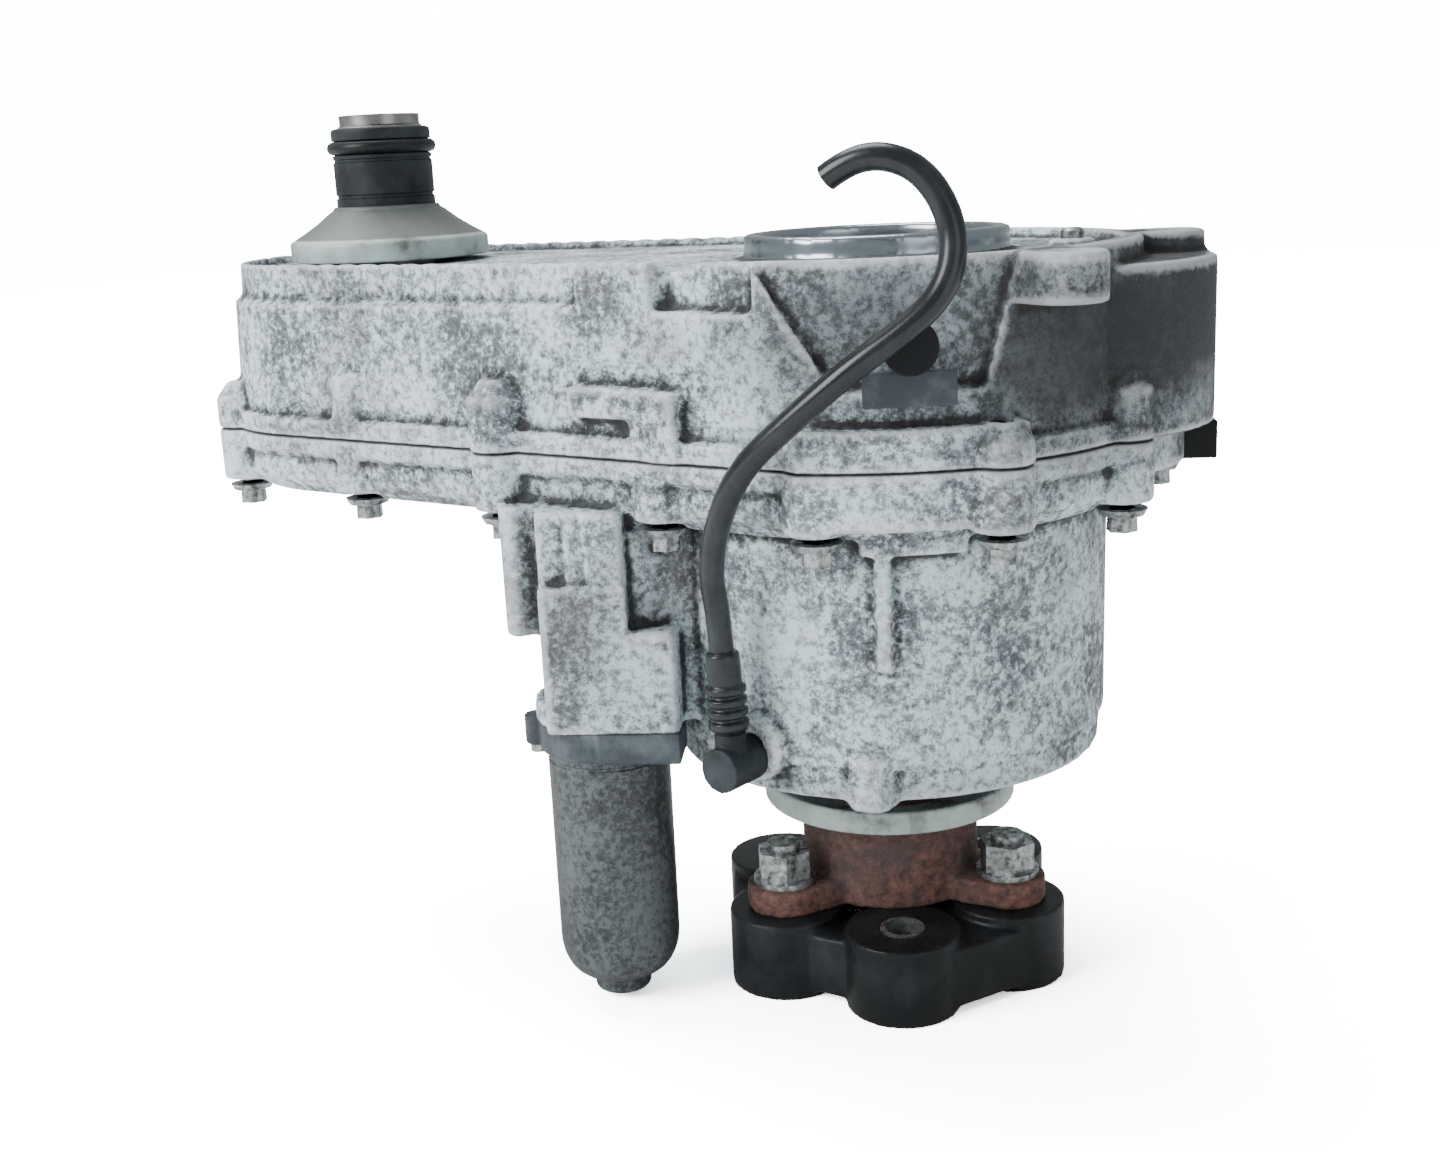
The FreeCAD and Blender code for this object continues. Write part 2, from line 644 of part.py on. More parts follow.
def rear_casting():
    solid = [
        belt("main_wall", "output_wall", "skirt_z", "seam_z - skirt_z"),
        belt("main_wall - floor_bevel", "output_wall - floor_bevel", "floor_z", "skirt_z - floor_z",
             "atan(floor_bevel / (skirt_z - floor_z))"),
        belt("main_wall + rim_step", "output_wall + rim_step", "seam_z - rim_height", "rim_height"),
        cylinder("lobe_radius - lobe_inset", "seam_z - chamber_floor", "lobe_x", "lobe_y", "chamber_floor"),
        sector("apron_radius", "apron_start", "apron_span", "apron_bottom", "seam_z - apron_bottom"),
        cone("drum_foot", "drum_radius", "skirt_z - drum_foot_z", z="drum_foot_z"),
        cone("drum_heel", "drum_foot - drum_crease", "drum_foot_z - drum_end", z="drum_end"),
        cylinder("snout_radius", "drum_end - snout_end + 1", z="snout_end"),
        # tower that carries the actuator motor
        cylinder("tower_radius", "tower_top - tower_face", "motor_x", "motor_y", "tower_face"),
        cylinder("tower_flange", "tower_flange_height", "motor_x", "motor_y", "tower_face"),
        cone("tower_radius", "tower_radius / 2", "skirt_z - tower_top", "motor_x", "motor_y", "tower_top"),
        tower_block("-tower_left", "tower_web", "tower_recess", "tower_face", "skirt_z"),
        tower_block("tower_web", "tower_right", "tower_side", "tower_face", "skirt_z"),
        tower_block("-tower_left", "tower_web", "tower_front", "tower_face", "tower_step"),
        tower_block("tower_web", "tower_right", "tower_front", "tower_face", "tower_ledge"),
        tower_block(0, "tower_web", "tower_front - 1", "tower_ledge", "skirt_z"),
        tower_block("-tower_rib_left", "tower_rib - tower_rib_left", "tower_front - 2", "tower_step",
                    "skirt_z"),
        bar(MOTOR_ANGLE, "ear_root", MOTOR_REACH, "tower_radius", "tower_face", "tower_top - tower_face"),
        sector("quadrant_radius + 5", f"{MOTOR_ANGLE} - quadrant_half", "2 * quadrant_half",
               "quadrant_bottom - 5", "skirt_z - quadrant_bottom + 5"),
        bar(f"{MOTOR_ANGLE} - 2", MOTOR_REACH, "post_reach", 4, "post_bottom", "skirt_z - post_bottom"),
        cylinder("post_radius", "skirt_z - post_bottom", *about(0, 0, "post_reach", f"{MOTOR_ANGLE} - 2"),
                 "post_bottom"),
        # vent port, and the rib, the bar and the bump on the drum
        cylinder("vent_boss", "vent_face - ear_root", *about(0, 0, "ear_root", "vent_angle"), "vent_z + 3",
                 outward("vent_angle")),
        bar("rib_angle", "ear_root", "rib_reach", 2.5, "rib_bottom", "rib_height"),
        sector("rib_reach + 1", "rib_angle - 5", 24, "skirt_z - 12", 12),
        cylinder("bump_radius", "drum_foot_z - snout_end - 8",
                 *about(0, 0, "drum_heel - 2", "rib_angle - 4"), "drum_end - 2"),
    ]
    for axis_x, axis_y, radius, angle, _ in SEAM_BOLTS:
        x, y = about(axis_x, axis_y, radius, angle)
        solid.append(cylinder("boss_radius", "seam_z - bolt_seat", x, y, "bolt_seat"))
    for height in ("fill_plug_z", "drain_plug_z"):
        solid.append(cylinder("plug_boss", "plug_face - ear_root", *about(0, 0, "ear_root", "plug_angle"),
                              height, outward("plug_angle")))
    hollow = [
        belt("gear_space", "gear_space", "chamber_floor", "seam_z - chamber_floor + 1"),
        cylinder("drum_bore", "seam_z - drum_bore_end + 1", z="drum_bore_end"),
        cylinder("rear_bearing", "bearing_height + 8", z="rear_bearing_top - bearing_height"),
        cylinder("seal_outer + 2", 30, z="snout_end - 1"),
        cylinder("pin_radius", "seam_z - pin_bottom", IDLER_X, 0, "pin_bottom"),
        cylinder("reducer_radius + gap", "quadrant_top - tower_face + 1", "motor_x", "motor_y",
                 "tower_face - 1"),
        cylinder("pinion_stub + run_fit", 5, "motor_x", "motor_y", "quadrant_top"),
        sector("quadrant_radius", f"{MOTOR_ANGLE} - quadrant_half + quadrant_wall",
               "2 * (quadrant_half - quadrant_wall)",
               "quadrant_bottom", "quadrant_top - quadrant_bottom"),
        cylinder("vent_bore", 60, *about(0, 0, "ear_root", "vent_angle"), "vent_z + 3",
                 outward("vent_angle")),
    ]
    for axis_x, axis_y, radius, angle, _ in SEAM_BOLTS:
        x, y = about(axis_x, axis_y, radius, angle)
        hollow.append(cylinder("shank_radius + run_fit", 30, x, y, "bolt_seat - 4"))
        hollow.append(cylinder("spot_radius", 14, x, y, "bolt_seat - 14"))
    for height in ("fill_plug_z", "drain_plug_z"):
        hollow.append(cylinder("plug_thread", 60, *about(0, 0, "ear_root + 5", "plug_angle"),
                               height, outward("plug_angle")))
    seat = ring("output_bearing", "output_bearing + 4", "chamber_floor", "lower_bearing_top", OUTPUT_X)
    node(fuse([cut(fuse(solid), hollow), seat]), "case_rear")


# ------------------------------------------------------------------ casing hardware
def case_bolts():
    pieces = []
    for axis_x, axis_y, radius, angle, _ in SEAM_BOLTS:
        x, y = about(axis_x, axis_y, radius, angle)
        pieces.append(cylinder("shank_radius", "seam_z - bolt_seat + bolt_grip", x, y, "bolt_seat"))
        pieces.append(cylinder("bolt_flange", "bolt_flange_height", x, y, "bolt_seat - bolt_flange_height"))
        pieces.append(prism(6, "bolt_head", "bolt_head_height", x, y,
                            "bolt_seat - bolt_flange_height - bolt_head_height"))
    node(fuse(pieces), "case_bolts")


def locating_dowel():
    node(turned([(0, "-dowel_depth"), ("dowel_radius", "-dowel_depth"), ("dowel_radius", "dowel_height - 1"),
                 ("dowel_radius - 1", "dowel_height"), (0, "dowel_height")], "dowel_x", "dowel_y"),
         "locating_dowel")


def oil_plugs():
    pieces = []
    for height in ("fill_plug_z", "drain_plug_z"):
        head_x, head_y = about(0, 0, "plug_face", "plug_angle")
        thread_x, thread_y = about(0, 0, "plug_face - 10", "plug_angle")
        pieces.append(cylinder("plug_thread", 10, thread_x, thread_y, height, outward("plug_angle")))
        pieces.append(cylinder("plug_boss - 2", 2, head_x, head_y, height, outward("plug_angle")))
        pieces.append(prism(6, "plug_thread", 7, head_x, head_y, height, outward("plug_angle")))
    node(fuse(pieces), "oil_plugs")


def race(inner, outer, top, x=0):
    """Inner and outer ring of a ball bearing, and its balls, as three lists of objects."""
    bottom = f"{top} - bearing_height"
    inside = ring(inner, f"{inner} + race_wall", bottom, top, x)
    outside = ring(f"{outer} - race_wall", outer, bottom, top, x)
    circle = f"({inner} + {outer}) / 2"
    balls = [ball("ball_radius", *about(x, 0, circle, f"{index} * 360 / ball_count"),
                  f"{top} - bearing_height / 2") for index in range(int(number("ball_count")))]
    return outside, [inside] + balls


def bearings():
    front_outer, front_inner = race("hub_radius", "main_bearing", "bearing_top")
    rear_outer, rear_inner = race("shaft_radius", "rear_bearing", "rear_bearing_top")
    upper_outer, upper_inner = race("output_shaft", "output_bearing", "bearing_top", OUTPUT_X)
    lower_outer, lower_inner = race("output_shaft", "output_bearing", "lower_bearing_top", OUTPUT_X)
    node(fuse([front_outer, rear_outer, upper_outer, lower_outer]), "bearing_outer_rings")
    node(fuse(front_inner + rear_inner), "main_bearing_inner_rings")
    node(fuse(upper_inner + lower_inner), "output_bearing_inner_rings")


def oil_seals():
    node(fuse([
        ring("hub_radius + gap", "seal_outer", "seal_top - seal_height", "seal_top"),
        ring("output_shaft + gap", "seal_outer", "seal_top - seal_height", "seal_top", OUTPUT_X),
        ring("flange_sleeve + gap", "seal_outer + 2", "rear_seal_top - seal_height", "rear_seal_top"),
    ]), "oil_seals")


def idler_pin():
    node(ring(0, "pin_radius", "pin_bottom", "pin_top", IDLER_X), "idler_pin")


# ------------------------------------------------------------------ main shaft and clutch
def main_shaft():
    bore_bottom = "hub_top - hub_spline_depth"
    shaft = turned([
        (0, "shaft_end"), ("tail_radius", "shaft_end"), ("tail_radius", "tail_top"),
        ("shaft_radius", "tail_top"), ("shaft_radius", "bearing_top - bearing_height"),
        ("hub_radius", "bearing_top - bearing_height"), ("hub_radius", "hub_top"),
        ("hub_spline", "hub_top"), ("hub_spline", bore_bottom), (0, bore_bottom)])
    grooves = [bar(f"{index} * 360 / spline_count", "hub_spline - 1", "hub_spline + 1.4",
                   "spline_groove / 2", bore_bottom, "hub_spline_depth + 1")
               for index in range(int(number("spline_count")))]
    node(cut(shaft, grooves), "main_shaft")


def clutch():
    plate_top = "basket_end + basket_plate"
    inside = "basket_outer - basket_wall"
    node(turned([
        ("shaft_radius", "basket_end"), ("basket_outer", "basket_end"), ("basket_outer", "basket_top"),
        (inside, "basket_top"), (inside, plate_top), ("shaft_radius", plate_top)]), "clutch_basket")
    hub_inside = "clutch_hub_outer - clutch_hub_wall"
    hub_bottom = f"{plate_top} + 2"
    web_bottom = "clutch_web_top - clutch_hub_wall"
    node(turned([
        ("sleeve_outer", web_bottom), (hub_inside, web_bottom), (hub_inside, hub_bottom),
        ("clutch_hub_outer", hub_bottom), ("clutch_hub_outer", "basket_top - 2"),
        (hub_inside, "basket_top - 2"), (hub_inside, "clutch_web_top"), ("sleeve_outer", "clutch_web_top"),
    ]), "clutch_hub")
    friction = []
    steel = []
    for index in range(2 * int(number("friction_count")) + 1):
        bottom = f"plate_bottom + {index} * plate_pitch"
        top = f"{bottom} + plate_thickness"
        if index % 2:
            friction.append(ring("clutch_hub_outer", "friction_outer", bottom, top))
        else:
            steel.append(ring("steel_inner", inside, bottom, top))
    node(fuse(friction), "friction_plates")
    node(fuse(steel), "steel_plates")


def gear_train():
    pitch = "output_offset / 4"
    gear_bottom = "gear_top - gear_height"
    half_tooth = math.pi / number("gear_teeth")
    sleeve = ring("shaft_radius + run_fit", "sleeve_outer", "basket_end + basket_plate + 2", "gear_top + 1")
    bore = cylinder("shaft_radius + run_fit", 60, z="gear_top - 40")
    node(fuse([cut(gear(pitch, "gear_teeth", 0, gear_bottom, "gear_height"), [bore]), sleeve]), "drive_gear")
    idler = fuse([gear(pitch, "gear_teeth", half_tooth, gear_bottom, "gear_height", IDLER_X),
                  cylinder("pin_radius + 6", "gear_height + 4", IDLER_X, 0, f"{gear_bottom} - 2")])
    node(cut(idler, [cylinder("pin_radius + run_fit", 60, IDLER_X, 0, "gear_top - 40")]), "idler_gear")
    node(cut(gear(pitch, "gear_teeth", 0, gear_bottom, "gear_height", OUTPUT_X),
             [cylinder("output_shaft", 60, OUTPUT_X, 0, "gear_top - 40")]), "output_gear")


# ------------------------------------------------------------------ ball ramp actuator
RAMP_TOP = "support_top - support_height - gap"
RAMP_BOTTOM = f"{RAMP_TOP} - ramp_ring_height"
BALL_Z = f"{RAMP_BOTTOM} - ramp_gap / 2"


def ramp_actuator():
    node(ring("sleeve_outer + 1", "drum_bore - gap", "support_top - support_height", "support_top"),
         "actuator_support")
    teeth = int(number("ramp_teeth"))
    pitch = number(f"{MOTOR_REACH} * ramp_teeth / (ramp_teeth + pinion_teeth)")
    swing = number("ramp_swing")
    tooth_angle = 360 / teeth
    ahead = 1
    behind = ahead + round(swing / tooth_angle)
    motor_angle = math.radians(number(MOTOR_ANGLE))
    points = toothed_points(pitch, teeth, motor_angle, -ahead, behind)
    inner = number("ramp_outer - 4")
    first = math.atan2(points[0].y, points[0].x)
    last = math.atan2(points[-1].y, points[-1].x)
    points.append(FreeCAD.Vector(inner * math.cos(last), inner * math.sin(last), 0))
    points.append(FreeCAD.Vector(inner * math.cos(first), inner * math.sin(first), 0))
    quadrant = shaped(Part.Face(Part.makePolygon(points + points[:1])).extrude(
        FreeCAD.Vector(0, 0, number("pinion_height"))))
    place(quadrant, z=RAMP_BOTTOM)
    groove = donut("ramp_circle", "ramp_ball + gap", z=BALL_Z)
    disc = ring("ramp_inner", "ramp_outer", RAMP_BOTTOM, RAMP_TOP)
    node(cut(fuse([disc, quadrant]), [groove]), "ramp_ring")
    balls = []
    pockets = []
    for index in range(int(number("ramp_ball_count"))):
        x, y = about(0, 0, "ramp_circle", f"{index} * 360 / ramp_ball_count")
        balls.append(ball("ramp_ball", x, y, BALL_Z))
        pockets.append(cylinder("ramp_ball + gap", 4, x, y, f"{BALL_Z} - 2"))
    cage = ring("ramp_circle - 7", "ramp_circle + 7", f"{BALL_Z} - 0.8", f"{BALL_Z} + 0.8")
    node(fuse(balls + [cut(cage, pockets)]), "ramp_balls")
    plate_top = f"{RAMP_BOTTOM} - ramp_gap"
    plate_low = f"{plate_top} - pressure_height"
    nose = f"{plate_low} - pressure_nose"
    node(cut(turned([
        ("ramp_inner", plate_low), ("steel_inner + 1", plate_low), ("steel_inner + 1", nose),
        ("ramp_outer", nose), ("ramp_outer", plate_top), ("ramp_inner", plate_top)]),
        [donut("ramp_circle", "ramp_ball + gap", z=BALL_Z)]), "pressure_plate")
    # pinion in mesh with the quadrant: a tooth gap of the pinion faces the quadrant's tooth
    pinion_pitch = f"{MOTOR_REACH} * pinion_teeth / (ramp_teeth + pinion_teeth)"
    phase = motor_angle + math.pi + math.pi / number("pinion_teeth")
    node(fuse([gear(pinion_pitch, "pinion_teeth", phase, RAMP_BOTTOM, "pinion_height", "motor_x", "motor_y"),
               cylinder("pinion_stub", f"quadrant_top + 4.5 - (reducer_top + gap)", "motor_x", "motor_y",
                        "reducer_top + gap")]), "actuator_pinion")


def actuator_motor():
    flange_bottom = "tower_face - motor_flange_height"
    flange = fuse([
        cylinder("motor_radius + 2.4", "motor_flange_height", "motor_x", "motor_y", flange_bottom),
        box("label_length", "label_depth", "motor_flange_height", "label_x", "label_y", flange_bottom,
            upright("view_angle")),
        cylinder("flange_ear_radius", "motor_flange_height",
                 *about("motor_x", "motor_y", "flange_ear_reach - flange_ear_radius", "flange_ear_angle"),
                 flange_bottom),
    ])
    node(cut(flange, [cylinder("rotor_shaft + gap", 40, "motor_x", "motor_y", f"{flange_bottom} - 1")]),
         "motor_flange")
    screws = []
    for reach, angle in (("flange_ear_reach - flange_ear_radius", "flange_ear_angle"),
                         ("screw_reach", "view_angle - 25.6")):
        x, y = about("motor_x", "motor_y", reach, angle)
        screws.append(cylinder("screw_head", 3, x, y, f"{flange_bottom} - 3"))
    node(fuse(screws), "motor_screws")
    node(bar("connector_angle", "motor_radius + 2.4", "motor_radius + 16", "connector_width / 2",
             flange_bottom, "motor_flange_height - gap", "motor_x", "motor_y"), "motor_connector")
    neck = "motor_radius - motor_wall"
    node(turned([
        ("motor_radius", flange_bottom), ("motor_radius", "motor_neck_z"),
        ("motor_cone_end", "motor_cone_z"),
        ("motor_cap_radius - 1.5", "motor_cone_z"), ("motor_cap_radius - 1.5", "motor_cone_z + motor_wall"),
        ("motor_cone_end - 0.7", "motor_cone_z + motor_wall"), (neck, "motor_neck_z + 0.6"),
        (neck, flange_bottom)], "motor_x", "motor_y"), "motor_can")
    node(turned([
        (0, "motor_foot"), ("motor_cap_radius - 1", "motor_foot"), ("motor_cap_radius", "motor_foot + 2"),
        ("motor_cap_radius", "motor_cone_z"), ("motor_cap_radius - 1.5", "motor_cone_z"),
        ("motor_cap_radius - 1.5", "motor_cone_z + 3"), (0, "motor_cone_z + 3")], "motor_x", "motor_y"),
        "motor_end_cap")
    node(ring("rotor_shaft + gap", "reducer_radius", "tower_face", "reducer_top", "motor_x", "motor_y"),
         "motor_reducer")
    core_top = f"{flange_bottom} - 6"
    node(turned([
        (0, "motor_cone_z + 3 + gap"), ("rotor_shaft", "motor_cone_z + 3 + gap"),
        ("rotor_shaft", "motor_neck_z + 4"), ("rotor_radius", "motor_neck_z + 4"),
        ("rotor_radius", core_top), ("rotor_shaft", core_top), ("rotor_shaft", "reducer_top - 20"),
        (0, "reducer_top - 20")], "motor_x", "motor_y"), "motor_rotor")


# ------------------------------------------------------------------ rear flange and disc
ARM_BOTTOM = "disc_bottom + disc_height"
ARM_TOP = f"{ARM_BOTTOM} + arm_thickness"
STUD_TOP = f"{ARM_TOP} + stud_reach"
ARM_ANGLES = [f"disc_angle + {120 * index}" for index in range(3)]
FREE_ANGLES = [f"disc_angle + {60 + 120 * index}" for index in range(3)]


def rear_flange():
    solid = [
        turned([
            ("tail_radius", ARM_BOTTOM), ("flange_neck", ARM_BOTTOM), ("flange_neck", "flange_shoulder"),
            ("flange_sleeve", "flange_shoulder"), ("flange_sleeve", "tail_top"),
            ("tail_radius", "tail_top")]),
    ]
    holes = [cylinder("tail_radius", 80, z=f"{ARM_BOTTOM} - 1")]
    for angle in ARM_ANGLES:
        x, y = about(0, 0, "disc_circle", angle)
        solid.append(cylinder("arm_radius", "arm_thickness", x, y, ARM_BOTTOM))
        solid.append(bar(angle, 20, "disc_circle", "arm_radius", ARM_BOTTOM, "arm_thickness"))
        holes.append(cylinder("stud_radius + stud_fit", 20, x, y, f"{ARM_BOTTOM} - 1"))
    node(cut(fuse(solid), holes), "rear_flange")


def dust_ring():
    base = "flange_shoulder + 2"
    node(turned([
        ("flange_sleeve", "flange_shoulder"), ("dust_ring_radius", "flange_shoulder"),
        ("dust_ring_radius", "dust_ring_top"), ("dust_ring_radius - 2", "dust_ring_top"),
        ("dust_ring_radius - 2", base), ("flange_sleeve", base)]), "dust_ring")


def flange_nut():
    node(cut(prism(12, "flange_nut_radius", "flange_nut_height", z=f"{ARM_BOTTOM} - flange_nut_height"),
             [cylinder("tail_radius", 30, z=f"{ARM_BOTTOM} - 20")]), "flange_nut")


def flex_disc():
    lobes = []
    holes = [cylinder("disc_centre", "disc_height + 2", z="disc_bottom - 1")]
    for index in range(6):
        angle = f"disc_angle + {60 * index}"
        x, y = about(0, 0, "disc_circle", angle)
        width = "disc_lobe - 1" if index % 2 else "disc_lobe - 8"
        lobes.append(cylinder("disc_lobe", "disc_height", x, y, "disc_bottom"))
        lobes.append(bar(f"{angle} + 120", 0, "disc_circle", width, "disc_bottom + 3",
                         "disc_height - 7", x, y))
        holes.append(cylinder("sleeve_radius", "disc_height + 2", x, y, "disc_bottom - 1"))
    for angle in ARM_ANGLES:
        x, y = about(0, 0, "disc_circle", angle)
        holes.append(cylinder("washer_radius", "head_height + 1.5", x, y, "disc_bottom - 1"))
    node(cut(fuse(lobes), holes), "flex_disc")


def disc_hardware():
    head_bottom = "disc_bottom + 0.5"
    head_top = f"{head_bottom} + head_height"
    sleeves = []
    studs = []
    nuts = []
    corner = "nut_flats / sqrt(3)"
    hole = "stud_radius + stud_fit"
    for angle in ARM_ANGLES:
        x, y = about(0, 0, "disc_circle", angle)
        sleeves.append(ring(hole, "sleeve_radius", head_top, ARM_BOTTOM, x, y))
        studs.append(prism(6, corner, "head_height", x, y, head_bottom))
        studs.append(cylinder("stud_radius", f"{STUD_TOP} - ({head_top})", x, y, head_top))
        nut = fuse([cylinder("washer_radius", "washer_height", x, y, ARM_TOP),
                    prism(6, corner, "nut_height", x, y, f"{ARM_TOP} + washer_height")])
        nuts.append(cut(nut, [cylinder("stud_radius", 30, x, y, f"{ARM_TOP} - 1")]))
    for angle in FREE_ANGLES:
        x, y = about(0, 0, "disc_circle", angle)
        sleeves.append(ring(hole, "sleeve_radius", head_bottom, ARM_BOTTOM, x, y))
    node(fuse(sleeves), "disc_sleeves")
    node(fuse(studs), "flange_bolts")
    node(fuse(nuts), "flange_nuts")


# ------------------------------------------------------------------ front output
def front_output():
    bore_bottom = "cap_top - output_spline_depth"
    low = "lower_bearing_top - bearing_height"
    shaft = turned([
        (0, low), ("output_shaft", low), ("output_shaft", "cap_top - 5"),
        ("output_shaft - 1.5", "cap_top - 4"), ("output_shaft - 1.5", "cap_top"),
        ("output_spline", "cap_top"), ("output_spline", bore_bottom),
        (0, bore_bottom)], OUTPUT_X)
    grooves = [bar(f"{index} * 360 / spline_count", "output_spline - 1", "output_spline + 1.2",
                   "spline_groove / 2.4", bore_bottom, "output_spline_depth + 1", OUTPUT_X, 0)
               for index in range(int(number("spline_count")))]
    node(cut(shaft, grooves), "output_shaft")
    rim_top = "shield_bottom + shield_rim"
    node(turned([
        ("shield_radius - shield_wall", "shield_bottom"), ("shield_radius", "shield_bottom"),
        ("shield_radius", rim_top), ("cap_radius + 1", "shield_top"), ("output_shaft", "shield_top"),
        ("output_shaft", "shield_top - shield_wall"), ("cap_radius", "shield_top - shield_wall"),
        ("shield_radius - shield_wall", f"{rim_top} - 1")], OUTPUT_X), "output_shield")
    groove_low = "ring_z - 3"
    groove_high = "ring_z + 3"
    node(turned([
        ("output_shaft", "shield_top"), ("cap_radius", "shield_top"), ("cap_radius", groove_low),
        ("cap_radius - 1.2", groove_low), ("cap_radius - 1.2", groove_high), ("cap_radius", groove_high),
        ("cap_radius", "cap_top - 6"), ("cap_radius - 1", "cap_top - 5"), ("output_shaft", "cap_top - 5")],
        OUTPUT_X), "output_sleeve")
    node(cut(donut("cap_radius - 0.6", 2.6, OUTPUT_X, 0, "ring_z"),
             [cylinder("cap_radius - 1.2", 20, OUTPUT_X, 0, "ring_z - 10")]), "sealing_ring")


# ------------------------------------------------------------------ vent and hose
def lean(angle, amount):
    """Rotation that leans an upright piece sideways about the outward direction at the angle."""
    return FreeCAD.Rotation(upright(angle).multVec(FreeCAD.Vector(1, 0, 0)), number(amount))


def vent_port():
    x, y = about(0, 0, "vent_face", "vent_angle")
    centre = about(0, 0, "vent_reach", "vent_angle")
    tilt = lean("vent_angle", "vent_lean")
    node(fuse([
        cylinder("vent_bore", 8, *about(0, 0, "vent_face - 8", "vent_angle"), "vent_z + 3",
                 outward("vent_angle")),
        cylinder("elbow_radius", "vent_reach - vent_face + elbow_radius", x, y, "vent_z",
                 outward("vent_angle")),
        cylinder("barrel_radius", "barrel_height", *centre, "vent_z", tilt),
    ]), "vent_elbow")
    points = [(0, 0), ("barrel_radius", 0)]
    for index in range(4):
        foot = 2 + 4 * index
        points += [("barrel_radius + 1.6", f"{foot}"), ("barrel_radius + 1.6", f"{foot + 2}"),
                   ("barrel_radius + 0.4", f"{foot + 2.5}"), ("barrel_radius + 0.4", f"{foot + 3.5}")]
    points += [("barrel_radius + 0.4", "cuff_height - 1"), ("barrel_radius - 0.4", "cuff_height"),
               (0, "cuff_height")]
    port = FreeCAD.Vector(number(centre[0]), number(centre[1]), number("vent_z"))
    way = tilt.multVec(FreeCAD.Vector(0, 0, 1))
    base = port + way * number("barrel_height")
    node(turned(points, base.x, base.y, base.z, tilt), "hose_cuff")
    return base + way * number("cuff_height"), way


# Route of the vent hose past its cuff: out over the seam, across to the clip and over in a crook.
HOSE_ROUTE = [
    (-22.3, -95.9, -96.6), (-15.8, -101.8, -77.2), (-4.3, -105.9, -58.5), (14.3, -107.0, -42.8),
    (33.3, -104.3, -27.1), (50.1, -98.5, -15.2), (58.8, -93.0, -5.3), (61.0, -89.1, 7.2),
    (57.5, -88.4, 19.9), (50.0, -90.1, 30.2), (39.3, -93.0, 34.4), (29.2, -94.6, 32.5),
    (22.7, -94.8, 28.2),
]


def vent_hose(start, way):
    points = [start, start + way * number("hose_straight")]
    points += [FreeCAD.Vector(*spot) for spot in HOSE_ROUTE]
    edges = []
    here = points[0]
    length = 0
    radii = []
    for before, corner, after in zip(points, points[1:], points[2:]):
        back = before - corner
        ahead = after - corner
        turn = math.pi - back.getAngle(ahead)
        trim = 0.45 * min(back.Length, ahead.Length)
        radius = trim / math.tan(turn / 2)
        radii.append(round(radius, 1))
        enter = corner + back.normalize() * trim
        leave = corner + ahead.normalize() * trim
        middle_way = (back + ahead).normalize()
        middle = corner + middle_way * (radius / math.cos(turn / 2) - radius)
        edges.append(Part.LineSegment(here, enter).toShape())
        edges.append(Part.Arc(enter, middle, leave).toShape())
        length += (enter - here).Length + radius * turn
        here = leave
    edges.append(Part.LineSegment(here, points[-1]).toShape())
    length += (points[-1] - here).Length
    start_way = (points[1] - points[0]).normalize()
    rim = Part.Wire(Part.Circle(points[0], start_way, number("hose_radius")).toShape())
    tube = Part.Wire(edges).makePipeShell([rim], True, False)
    item = node(shaped(tube), "vent_hose")
    section = math.pi * number("hose_radius") ** 2
    print("hose arc radii", radii)
    print("hose length", round(length, 1), "volume ratio", round(item.Shape.Volume / (section * length), 4))


def hose_clip():
    holder = outward("clip_angle")
    face = "panel_radius + clip_stand"
    back_x, back_y = about(0, 0, "panel_radius - 4", "clip_angle")
    wall = ["panel_radius + gap", 60, 0, 0, "clip_bottom - 10"]
    node(cut(fuse([
        bar("clip_angle", f"{face} - 2.5", face, "clip_width / 2", "clip_bottom", "clip_height"),
        bar("clip_angle", "panel_radius - 4", f"{face} - 2", 5, "clip_bottom + 5", "clip_height - 5"),
    ]), [cylinder(*wall)]), "hose_bracket")
    node(cut(fuse([
        cylinder("knob_radius - 3", "clip_stand + 8", back_x, back_y, "knob_z", holder),
        cylinder("knob_radius", 5, *about(0, 0, face, "clip_angle"), "knob_z", holder),
    ]), [cylinder(*wall)]), "hose_clip")


def side_block():
    node(box("block_length", "block_depth", "block_height", "block_x", "block_y", "block_z",
             upright("view_angle")), "side_block")


front_casting()
rear_casting()
case_bolts()
locating_dowel()
oil_plugs()
bearings()
oil_seals()
idler_pin()
main_shaft()
clutch()
gear_train()
ramp_actuator()
actuator_motor()
rear_flange()
dust_ring()
flange_nut()
flex_disc()
disc_hardware()
front_output()
vent_hose(*vent_port())
hose_clip()
side_block()
doc.recompute()

# ------------------------------------------------------------------ checks and export
for item in doc.Objects:
    if "Invalid" in item.State or "Error" in item.State:
        raise RuntimeError(f"{item.Name} {item.Label} failed: {item.State}")
for item in nodes:
    if item.Shape.isNull() or not item.Shape.isValid() or not item.Shape.Solids:
        raise RuntimeError(f"{item.Label} has no valid solid")
os.makedirs("parts", exist_ok=True)
for item in nodes:
    item.Shape.exportStep(f"parts/{item.Label}.step")
print(len(nodes), "pieces")
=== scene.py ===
"""Transfer case: the looks of its castings, hardware, motor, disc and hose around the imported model."""
import json
import math

import bmesh
import bpy
import numpy as np
from mathutils import Matrix, Vector


